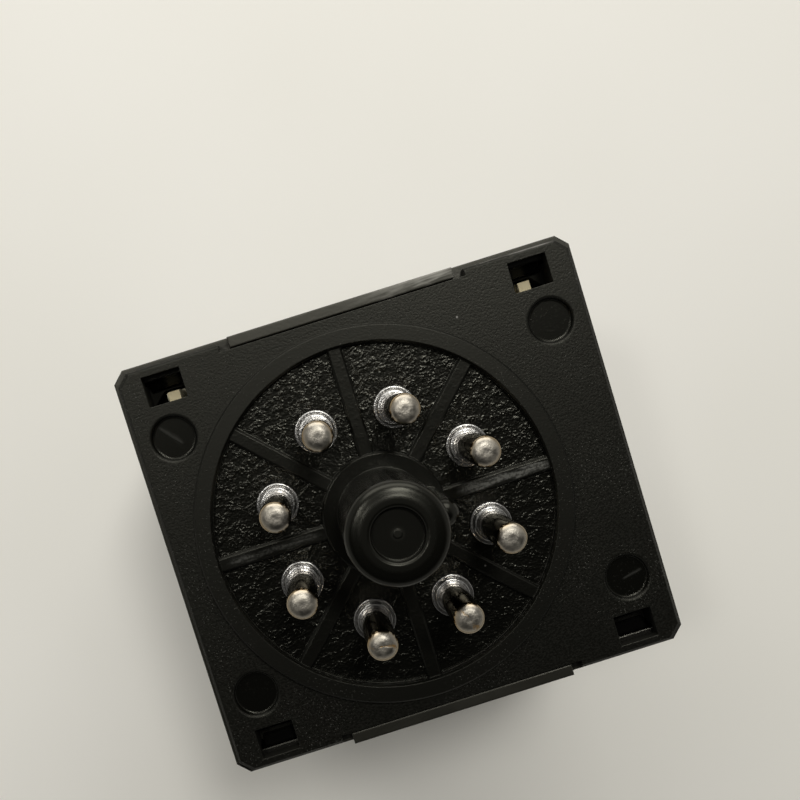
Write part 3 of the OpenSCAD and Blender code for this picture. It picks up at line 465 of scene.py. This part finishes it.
def makeNickel(spec):
    # the pins carry what was chipped, stained, handled and pressed as attributes, and the tip's centre that
    # takes a painted dark reflection
    made, tree, skin = newFinish("nickelPlate", metal=1.0)
    place = objectPlace(tree)
    cloud, grain = noise(tree, place, 1300.0, 4.0, 0.6), noise(tree, place, 5200.0, 2.0)
    chip, stain, satin, collar, centreReflection = (
        put(tree, "ShaderNodeAttribute", attribute_name=label).outputs["Fac"]
        for label in ("chipping", "staining", "handled", "pressed", "centreReflection"))
    dull = product(tree, stain, fade(tree, cloud, 0.3, 0.7, 0.5, 1.0))
    plated = tint(tree, dull, tint(tree, collar, spec["nickel"], spec["collarTone"]), spec["tarnish"])
    mottled = product(tree, satin, fade(tree, cloud, 0.58, 0.38), 0.55)
    pitted = product(tree, collar, fade(tree, grain, 0.47, 0.36), 0.5)
    # mottled tips and pitted collars are darker; the tip's centre is darker too, a painted reflection of the
    # dark overhead
    plated = tint(tree, most(tree, mottled, pitted, product(tree, centreReflection, 0.6)), plated, spec["dark"])
    bare = fade(tree, total(tree, chip, product(tree, cloud, 0.5)), 0.72, 0.8)
    tree.links.new(tint(tree, bare, plated, spec["brass"]), skin.inputs["Base Color"])
    # polished shaft, satin where it is handled and pressed
    rough = blend(tree, collar, blend(tree, satin, spec["shaftRough"], spec["tipRough"]), spec["collarRough"])
    cloudy = product(tree, fade(tree, cloud, 0.3, 0.7, 0.0, 0.12), satin)
    tree.links.new(total(tree, rough, cloudy, product(tree, bare, 0.15)), skin.inputs["Roughness"])
    worked = total(tree, satin, product(tree, collar, 0.8))
    relief(tree, skin, minus(tree, product(tree, grain, worked), bare), spec["relief"])
    return made


def filleted(corners):
    # each corner (r, z, fillet) becomes a curve: a quadratic arc between points a fillet away on both sides
    points = np.array([c[:2] for c in corners], float)
    reaches = np.array([c[2] for c in corners], float)
    line = [points[:1]]
    steps = np.linspace(0, 1, 7)[:, None]
    for i in range(1, len(points) - 1):
        before, after = points[i - 1] - points[i], points[i + 1] - points[i]
        a = points[i] + before / np.linalg.norm(before) * reaches[i]
        b = points[i] + after / np.linalg.norm(after) * reaches[i]
        line.append((1 - steps) ** 2 * a + 2 * steps * (1 - steps) * points[i] + steps ** 2 * b)
    line.append(points[-1:])
    return np.concatenate(line)


def meshFrom(name, points, faces, material, smooth=True):
    mesh = bpy.data.meshes.new(name)
    mesh.from_pydata(np.asarray(points).tolist(), [], faces)
    mesh.polygons.foreach_set("use_smooth", np.full(len(mesh.polygons), smooth))
    mesh.materials.append(material)
    mesh.update()
    made = bpy.data.objects.new(name, mesh)
    scene.collection.objects.link(made)
    return made


def lathe(profile, turns):
    # a profile of (r, z) rows carried round the Z axis; its first and last rows are single points on the axis
    angle = np.linspace(0, 2 * np.pi, turns, endpoint=False)
    r, z = profile[1:-1, :1], profile[1:-1, 1:]
    rings = np.stack([r * np.cos(angle), r * np.sin(angle), np.broadcast_to(z, (len(r), turns))], -1)
    points = np.concatenate([[[0, 0, profile[0, 1]]], rings.reshape(-1, 3), [[0, 0, profile[-1, 1]]]])
    row, col = np.meshgrid(np.arange(len(r) - 1), np.arange(turns), indexing="ij")
    here, beside = 1 + row * turns + col, 1 + row * turns + (col + 1) % turns
    quads = np.stack([here, beside, beside + turns, here + turns], -1).reshape(-1, 4)
    first, last = np.arange(turns), np.arange(turns) + 1 + (len(r) - 1) * turns
    foot = np.stack([np.zeros(turns, int), 1 + np.roll(first, -1), 1 + first], -1)
    top = np.stack([np.full(turns, len(points) - 1), last, np.roll(last, -1)], -1)
    return points, foot.tolist() + quads.tolist() + top.tolist()


def pinAngle(spec, n):
    return np.radians(spec["first"] + spec["step"] * (n - 1))


def ramp(value, low, high):
    # 0 at low to 1 at high
    return np.clip((value - low) / (high - low), 0, 1)


def pinForm(spec):
    # the turned outline under a dome: a flattened superellipse with a shallow pit in the middle
    rise = np.linspace(0, np.pi / 2, spec["domeSteps"])
    dome = np.column_stack([spec["shaft"] * np.cos(rise) ** spec["blunt"],
                            spec["dome"] * (np.sin(rise) ** spec["blunt"] - 1)])
    dome[-1, 0] = 0
    pitDepth, pitOut = spec["pit"]
    dome[:, 1] += spec["tip"] - pitDepth * np.exp(-(dome[:, 0] / pitOut) ** 2)
    return lathe(np.concatenate([filleted(spec["outline"])[:-1], dome]), spec["turns"])


def pinWear(spec, points):
    # what the finish needs, by height: stained shaft, handled top, pressed collar and the tip's centre, where
    # a darker painted reflection goes
    below, above = spec["tip"] - points[:, 2], points[:, 2] - spec["collar"]
    risen = np.maximum(ramp(above, *spec["stainRise"]), spec["leastStain"])
    stained = risen * ramp(below, *spec["stainZone"])
    handled = ramp(below, *spec["handledZone"])
    centreReflection = np.exp(-(np.hypot(points[:, 0], points[:, 1]) / spec["centreOut"]) ** 4)
    return dict(staining=stained * (above > spec["collarRise"]), handled=handled,
                pressed=(above < spec["collarRise"]) * 1.0, centreReflection=handled * centreReflection)


def addPins(spec, nickel):
    points, faces = pinForm(spec)
    marks = pinWear(spec, points)
    around, below = np.arctan2(points[:, 1], points[:, 0]), spec["tip"] - points[:, 2]
    tipped = ramp(below, *spec["chipZone"])
    even, lobes = spec["chipLobes"]
    for n in range(1, spec["count"] + 1):
        chips = spec["chipDeep"] * tipped * (even + lobes * np.cos(2 * (around - n))) * (n in spec["chipped"])
        # each tip is a little aslant and out of round, and chipped plating has lost some metal
        shape = points.copy()
        lost = spec["lost"] * chips * (below > spec["lostFrom"])
        shape[:, :2] *= (1 - lost - spec["oval"] * tipped * (1 + np.cos(2 * around + n)))[:, None]
        lean = points[:, 0] / spec["shaft"] * np.cos(spec["slantTurn"] * n)
        shape[:, 2] -= spec["slant"] * tipped * (1 + lean)
        shape[:, 0] += spec["plugAxis"] + spec["circle"] / 2 * np.cos(pinAngle(spec, n))
        shape[:, 1] += spec["circle"] / 2 * np.sin(pinAngle(spec, n))
        pin = meshFrom(f"pinTurned{n}", shape * mm, faces, nickel)
        for label, value in dict(chipping=chips, **marks).items():
            kept = pin.data.attributes.new(label, "FLOAT", "POINT")
            kept.data.foreach_set("value", value.astype(np.float32))
        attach(pin, "housing")
        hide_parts(f"pin_{n}")
    print("pins turned:", spec["count"])


def wordMesh(word, size, deep):
    # a word's flat outline made a mesh of its own, centred on zero
    curve = bpy.data.curves.new("word", "FONT")
    curve.body, curve.size, curve.extrude, curve.resolution_u = word, size, deep / 2, 4
    curve.align_x, curve.align_y = "CENTER", "CENTER"
    letter = bpy.data.objects.new("word", curve)
    scene.collection.objects.link(letter)
    bpy.context.view_layer.update()
    mesh = bpy.data.meshes.new_from_object(letter.evaluated_get(bpy.context.evaluated_depsgraph_get()))
    points = np.zeros(len(mesh.vertices) * 3)
    mesh.vertices.foreach_get("co", points)
    faces = [tuple(p.vertices) for p in mesh.polygons]
    bpy.data.objects.remove(letter)
    bpy.data.curves.remove(curve)
    bpy.data.meshes.remove(mesh)
    points = points.reshape(-1, 3)
    points[:, :2] -= (points[:, :2].min(0) + points[:, :2].max(0)) / 2
    return points, faces


# low numbers on the recess floor, in mm
pinMarks = dict(radius=12.3, size=1.7, raised=0.16, floor=recessFloor)


def addPinNumbers(spec, pins, plastic):
    # each number stands on the recess floor outside its pin, its foot towards the post
    for n in range(1, pins["count"] + 1):
        angle = pinAngle(pins, n)
        points, faces = wordMesh(str(n), spec["size"], spec["raised"])
        out, along = np.array([np.cos(angle), np.sin(angle)]), np.array([np.sin(angle), -np.cos(angle)])
        flat = points[:, :1] * along + (points[:, 1:2] + spec["radius"]) * out
        shape = np.column_stack([flat[:, 0] + pins["plugAxis"], flat[:, 1], points[:, 2] + spec["floor"]])
        number = meshFrom(f"pinNumber{n}", shape * mm, faces, plastic, smooth=False)
        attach(number, "housing")
    print("pin numbers raised")


# the printed dial on the front, in mm: numbers, long and short ticks around the knob, a little proud of the
# face and sunk in it
dialLook = dict(front=6.0, proud=0.03, sunk=0.02, numberAt=13.6, numberSize=1.5,
                steps=10, sweep=300.0, between=5, longTick=(11.6, 12.5, 0.28), shortTick=(11.6, 12.1, 0.16),
                print=(0.72, 0.71, 0.66), faded=(0.55, 0.54, 0.49))


def makePrint(spec):
    made, tree, skin = newFinish("dialPrint", roughness=0.55)
    grain = useGroup(tree, mouldGrain, Scale=3000.0, Pits=0.3)
    worn = product(tree, grain["Tone"], fade(tree, grain["Height"], 0.45, 0.75))
    tree.links.new(tint(tree, worn, spec["print"], spec["faded"]), skin.inputs["Base Color"])
    relief(tree, skin, grain["Height"], 0.000006)
    return made


def stackedBlocks(inner, outer, half, turn, low, high):
    # one small block for each turn: radius inner to outer, half its width to both sides, low to high
    r = np.stack([inner, outer, outer, inner], -1)
    t = np.stack([-half, -half, half, half], -1)
    cos, sin = np.cos(turn)[:, None], np.sin(turn)[:, None]
    x, y = -cos * r + sin * t, -sin * r - cos * t
    top = np.stack([x, y, np.full_like(x, high)], -1)
    foot = np.stack([x, y, np.full_like(x, low)], -1)
    points = np.concatenate([foot, top], 1).reshape(-1, 3)
    one = np.array([[0, 1, 2, 3], [7, 6, 5, 4], [4, 5, 1, 0], [5, 6, 2, 1], [6, 7, 3, 2], [7, 4, 0, 3]])
    return points, (one[None] + 8 * np.arange(len(turn))[:, None, None]).reshape(-1, 4).tolist()


def addDial(spec, printed):
    # seen from the front, up is -X and right is -Y; the scale runs clockwise
    front, proud, sunk = spec["front"], spec["proud"], spec["sunk"]
    count = spec["steps"] * spec["between"] + 1
    turn = np.radians(np.linspace(-spec["sweep"] / 2, spec["sweep"] / 2, count))
    tall = np.arange(count) % spec["between"] == 0
    inner, outer, wide = (np.where(tall, a, b) for a, b in zip(spec["longTick"], spec["shortTick"]))
    points, faces = stackedBlocks(inner, outer, wide / 2, turn, front - proud, front + sunk)
    ticks = meshFrom("dialTicks", points * mm, faces, printed, smooth=False)
    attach(ticks, "housing")
    for value, angle in enumerate(turn[tall]):
        letter, faces = wordMesh(str(value), spec["numberSize"], proud + sunk)
        x = -np.cos(angle) * spec["numberAt"] - letter[:, 1]
        y = -np.sin(angle) * spec["numberAt"] - letter[:, 0]
        shape = np.column_stack([x, y, front - letter[:, 2] - (proud - sunk) / 2])
        number = meshFrom(f"dialNumber{value}", shape * mm, faces, printed, smooth=False)
        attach(number, "housing")
    print("dial printed:", count, "ticks")


# paint in the knob's two pointer slots: from, to, half width, sunk face and slot bottom in mm
pointerLook = dict(skirtPaint=(-10.95, -9.3, 0.46, 4.36, 4.64), gripPaint=(-8.9, -4.6, 0.46, 0.05, 0.34))
paintBar = dict(steps=32, endShare=0.4, square=0.5, drawnIn=0.86, shoulder=0.06)


def addPointer(spec, bar, printed):
    # rounded bar: a stadium outline at the slot's bottom, below the face, and drawn in at the face
    steps = bar["steps"]
    turn = np.linspace(0, 2 * np.pi, steps, endpoint=False)
    bulge, side = (np.sign(v) * np.abs(v) ** bar["square"] for v in (np.cos(turn), np.sin(turn)))
    row, col = np.meshgrid(np.arange(2), np.arange(steps), indexing="ij")
    here, beside = row * steps + col, row * steps + (col + 1) % steps
    sides = np.stack([here, here + steps, beside + steps, beside], -1).reshape(-1, 4).tolist()
    caps = [list(range(steps)), list(range(3 * steps - 1, 2 * steps - 1, -1))]
    for name, (start, end, half, face, bottom) in spec.items():
        endLong = half * bar["endShare"]
        ends = np.where(np.cos(turn) > 0, end - endLong, start + endLong)
        rows = [np.column_stack([ends + bulge * endLong * grow, side * half * grow, np.full(steps, z)])
                for grow, z in ((1.0, bottom), (1.0, face + bar["shoulder"]), (bar["drawnIn"], face))]
        paint = meshFrom(name, np.concatenate(rows) * mm, sides + caps, printed, smooth=False)
        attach(paint, "setting")
    print("pointer painted")


# finishes of the pieces inside and on the front: two tones, roughness, grain per metre and its depth in m
innerLooks = {
    "knob_plastic": dict(colour=(0.008, 0.008, 0.008), second=(0.013, 0.013, 0.012), rough=(0.36, 0.46),
                         scale=3000, deep=1.2e-5),
    "shaft_metal": dict(colour=(0.62, 0.62, 0.6), second=(0.45, 0.45, 0.43), rough=(0.25, 0.4),
                        scale=2500, deep=6e-6, metal=1),
    "pot_plastic": dict(colour=(0.04, 0.075, 0.13), second=(0.055, 0.095, 0.16), rough=(0.4, 0.52),
                        scale=2600, deep=8e-6),
    "selector_plastic": dict(colour=(0.66, 0.62, 0.53), second=(0.58, 0.53, 0.43), rough=(0.36, 0.48),
                             scale=2600, deep=8e-6),
    "switch_plastic": dict(colour=(0.02, 0.035, 0.065), second=(0.03, 0.05, 0.085), rough=(0.4, 0.5),
                           scale=2600, deep=8e-6),
    "front_board": dict(colour=(0.012, 0.07, 0.026), second=(0.02, 0.095, 0.036), rough=(0.28, 0.4),
                        scale=900, deep=1e-5, copper=(0.03, 0.15, 0.055), upright=0),
    "main_board": dict(colour=(0.78, 0.74, 0.55), second=(0.68, 0.62, 0.42), rough=(0.42, 0.55),
                       scale=1500, deep=1e-5, copper=(0.64, 0.55, 0.33), upright=1),
    "pin_board": dict(colour=(0.014, 0.08, 0.03), second=(0.022, 0.105, 0.04), rough=(0.28, 0.4),
                      scale=900, deep=1e-5, copper=(0.032, 0.16, 0.06), upright=0),
    "solder": dict(colour=(0.6, 0.6, 0.58), second=(0.45, 0.45, 0.44), rough=(0.2, 0.36),
                   scale=1800, deep=2e-5, metal=1),
    "tinned_wire": dict(colour=(0.62, 0.61, 0.58), second=(0.48, 0.47, 0.44), rough=(0.24, 0.4),
                        scale=2200, deep=6e-6, metal=1),
    "chip_body": dict(colour=(0.012, 0.012, 0.012), second=(0.02, 0.02, 0.019), rough=(0.5, 0.62),
                      scale=5200, deep=1e-5),
    "tinned_legs": dict(colour=(0.62, 0.61, 0.58), second=(0.5, 0.49, 0.46), rough=(0.24, 0.4),
                        scale=2200, deep=5e-6, metal=1),
    "capacitor_sleeve": dict(colour=(0.018, 0.022, 0.05), second=(0.026, 0.032, 0.07), rough=(0.22, 0.34),
                             scale=900, deep=8e-6, stripe=(-0.0128, (0.5, 0.5, 0.48))),
    "film_box": dict(colour=(0.36, 0.12, 0.02), second=(0.43, 0.16, 0.03), rough=(0.28, 0.4),
                     scale=1800, deep=8e-6),
    "varistor_coat": dict(colour=(0.02, 0.07, 0.26), second=(0.03, 0.095, 0.33), rough=(0.24, 0.36),
                          scale=1100, deep=2e-5),
    "resistor_coat": dict(colour=(0.46, 0.31, 0.13), second=(0.53, 0.38, 0.18), rough=(0.34, 0.46),
                          scale=1600, deep=1e-5, bands=(0.0011, (0.09, 0.03, 0.015))),
    "tinned_leads": dict(colour=(0.58, 0.57, 0.54), second=(0.45, 0.44, 0.41), rough=(0.26, 0.42),
                         scale=2200, deep=6e-6, metal=1),
    "relay_base": dict(colour=(0.012, 0.012, 0.014), second=(0.02, 0.02, 0.023), rough=(0.42, 0.54),
                       scale=3200, deep=8e-6),
    "bobbin_plastic": dict(colour=(0.68, 0.64, 0.54), second=(0.6, 0.56, 0.45), rough=(0.4, 0.5),
                           scale=2600, deep=8e-6),
    "winding": dict(colour=(0.42, 0.13, 0.04), second=(0.3, 0.08, 0.02), rough=(0.26, 0.4),
                    scale=1200, deep=6e-5, turns=0.00024),
    "core_iron": dict(colour=(0.42, 0.42, 0.43), second=(0.3, 0.3, 0.3), rough=(0.32, 0.48),
                      scale=2400, deep=8e-6, metal=1),
    "yoke_iron": dict(colour=(0.5, 0.5, 0.47), second=(0.38, 0.38, 0.34), rough=(0.32, 0.48),
                      scale=2000, deep=8e-6, metal=1),
    "armature_iron": dict(colour=(0.53, 0.53, 0.5), second=(0.4, 0.4, 0.37), rough=(0.3, 0.46),
                          scale=2000, deep=8e-6, metal=1),
    "block_plastic": dict(colour=(0.6, 0.55, 0.43), second=(0.52, 0.47, 0.35), rough=(0.42, 0.52),
                          scale=2600, deep=8e-6),
    "blade_metal": dict(colour=(0.58, 0.36, 0.15), second=(0.44, 0.26, 0.1), rough=(0.26, 0.4),
                        scale=1800, deep=6e-6, metal=1),
    "contact_metal": dict(colour=(0.62, 0.45, 0.2), second=(0.48, 0.33, 0.13), rough=(0.26, 0.4),
                          scale=1800, deep=6e-6, metal=1),
    "spring_steel": dict(colour=(0.5, 0.5, 0.5), second=(0.36, 0.36, 0.36), rough=(0.24, 0.38),
                         scale=2400, deep=6e-6, metal=1),
    "power_lens": dict(colour=(0.06, 0.42, 0.12), second=(0.05, 0.34, 0.09), rough=(0.16, 0.28),
                       scale=1500, deep=8e-6, clear=0.5),
    "output_lens": dict(colour=(0.62, 0.15, 0.03), second=(0.52, 0.11, 0.02), rough=(0.16, 0.28),
                        scale=1500, deep=8e-6, clear=0.5),
    "power_led": dict(colour=(0.3, 0.62, 0.34), second=(0.24, 0.52, 0.28), rough=(0.2, 0.32),
                      scale=1600, deep=8e-6, clear=0.35),
    "output_led": dict(colour=(0.72, 0.33, 0.18), second=(0.62, 0.26, 0.13), rough=(0.2, 0.32),
                       scale=1600, deep=8e-6, clear=0.35),
    "relay_cover": dict(colour=(0.8, 0.86, 0.88), second=(0.74, 0.8, 0.82), rough=(0.06, 0.16),
                        scale=700, deep=6e-6, clear=0.92),
}


def makeInnerFinish(slot, spec):
    # two tones that drift into each other over a fine grain, with the pattern that the piece has
    made, tree, skin = newFinish(slot, metal=spec.get("metal", 0))
    grain = useGroup(tree, mouldGrain, Scale=float(spec["scale"]), Pits=0.2)
    colour, height = tint(tree, grain["Tone"], spec["colour"], spec["second"]), grain["Height"]
    x, y = axes(tree)[:2]
    if "copper" in spec:
        tracks = useGroup(tree, boardTracks, Upright=float(spec["upright"]))["Mask"]
        colour = tint(tree, tracks, colour, spec["copper"])
        height = total(tree, height, product(tree, tracks, 3.0))
    if "stripe" in spec:
        edge, paint = spec["stripe"]
        colour = tint(tree, calc(tree, "LESS_THAN", x, edge), colour, paint)
    if "bands" in spec:
        pitch, paint = spec["bands"]
        wave = calc(tree, "SINE", product(tree, x, 2 * np.pi / pitch))
        colour = tint(tree, fade(tree, wave, 0.45, 0.6), colour, paint)
    if "turns" in spec:
        wave = size(tree, calc(tree, "SINE", product(tree, y, np.pi / spec["turns"])))
        height = total(tree, product(tree, height, 0.1), wave)
        # the grooves between the wire's turns are painted darker: painted shade
        colour = tint(tree, fade(tree, wave, 0.5, 0.0, 0.0, 0.6), colour, spec["second"])
    if "clear" in spec:
        skin.inputs["Transmission Weight"].default_value = spec["clear"]
    tree.links.new(colour, skin.inputs["Base Color"])
    tree.links.new(fade(tree, grain["Height"], 0.3, 0.8, *spec["rough"]), skin.inputs["Roughness"])
    relief(tree, skin, height, spec["deep"], 0.0001)
    return made


basePlastic, casePlastic, nickel = makeBasePlastic(baseLook), makeCasePlastic(caseLook), makeNickel(pinLook)
finishes = {slot: makeInnerFinish(slot, spec) for slot, spec in innerLooks.items()}
finishes.update(black_base=basePlastic, black_case=casePlastic, pin_metal=nickel)
for part in frame["record"]["subparts"]:
    for place in nodes[part["node"]].material_slots:
        place.material = finishes[part["material_slot"]]
print("finishes set:", len(finishes))

addPins(pinLook, nickel)
addPinNumbers(pinMarks, pinLook, basePlastic)
dialPrint = makePrint(dialLook)
addDial(dialLook, dialPrint)
addPointer(pointerLook, paintBar, dialPrint)

# pale table, and the room: level light all round, brighter overhead beyond the object, dark on the near side.
# Turn and rise say over which directions the halves of the room and the level light blend
stageLook = dict(size=3.0, cells=4, pale=(0.86, 0.845, 0.79), patch=(0.835, 0.82, 0.76),
                 around=0.52, beyond=0.1, near=0.02, light=(1.0, 0.985, 0.945),
                 halves=(-0.07, 0.09), turn=(-0.4, 0.3), riseFrom=(0.25, 0.55), riseTo=(0.6, 0.85))


def addFloor(spec):
    cells = spec["cells"]
    span = np.linspace(-spec["size"] / 2, spec["size"] / 2, cells + 1)
    x, y = np.meshgrid(span, span)
    points = np.column_stack([x.ravel(), y.ravel(), np.zeros(x.size)])
    row, col = np.meshgrid(np.arange(cells), np.arange(cells), indexing="ij")
    here = (row * (cells + 1) + col).ravel()
    faces = np.stack([here, here + 1, here + cells + 2, here + cells + 1], -1).tolist()
    made, tree, skin = newFinish("paleTable", roughness=0.6)
    cloud = fade(tree, noise(tree, objectPlace(tree), 14.0, 2.0), 0.35, 0.65)
    tree.links.new(tint(tree, cloud, spec["pale"], spec["patch"]), skin.inputs["Base Color"])
    floor = meshFrom("paleTable", points, faces, made)


def addSky(spec):
    # radiance by direction: the level light, blending near the zenith into the bright and the dark half
    world = bpy.data.worlds.new("softRoom")
    world.use_nodes = True
    tree = world.node_tree
    way = tree.nodes.new("ShaderNodeTexCoord").outputs["Generated"]
    high = axes(tree, way)[2]
    both = {0: way, 1: (*pictureUp[:2], 0)}
    ahead = put(tree, "ShaderNodeVectorMath", both, operation="DOT_PRODUCT").outputs["Value"]
    overhead = fade(tree, ahead, *spec["halves"], spec["near"], spec["beyond"])
    share = fade(tree, high, fade(tree, ahead, *spec["turn"], *spec["riseFrom"]),
                 fade(tree, ahead, *spec["turn"], *spec["riseTo"]))
    level = product(tree, without(tree, share), spec["around"])
    room = tree.nodes["Background"].inputs
    tree.links.new(total(tree, level, product(tree, share, overhead)), room["Strength"])
    room["Color"].default_value = (*spec["light"], 1)
    scene.world = world


# soft panels: degrees from overhead, degrees to the left of picture-up, distance and size in m, watts
panels = dict(
    lampPanel=dict(lean=20, left=-12, far=0.6, wide=(0.08, 0.08), watts=1.0, colour=(1.0, 0.985, 0.95)),
    sidePanel=dict(lean=20, left=67, far=0.6, wide=(0.05, 0.05), watts=0.36, colour=(1.0, 0.98, 0.95)),
    fillPanel=dict(lean=60, left=8, far=0.4, wide=(0.5, 0.25), watts=1.35, colour=(1.0, 0.98, 0.94)))
panelAim = 0.06  # m above the table


def addPanels(spec, aim):
    up = Vector((pictureUp[0], pictureUp[1], 0)).normalized()
    side = Vector((pictureRight[0], pictureRight[1], 0)).normalized()
    for name, row in spec.items():
        lean, left = np.radians(row["lean"]), np.radians(row["left"])
        way = (up * np.cos(left) - side * np.sin(left)) * np.sin(lean) + Vector((0, 0, np.cos(lean)))
        lamp = bpy.data.lights.new(name, "AREA")
        lamp.energy, lamp.color, lamp.shape = row["watts"], row["colour"], "RECTANGLE"
        lamp.size, lamp.size_y = row["wide"]
        made = bpy.data.objects.new(name, lamp)
        place = way * row["far"] + Vector((0, 0, aim))
        made.matrix_world = Matrix.Translation(place) @ (-way).to_track_quat("-Z", "Y").to_matrix().to_4x4()
        scene.collection.objects.link(made)


addFloor(stageLook)
addSky(stageLook)
addPanels(panels, panelAim)
print("table, room and panels set")
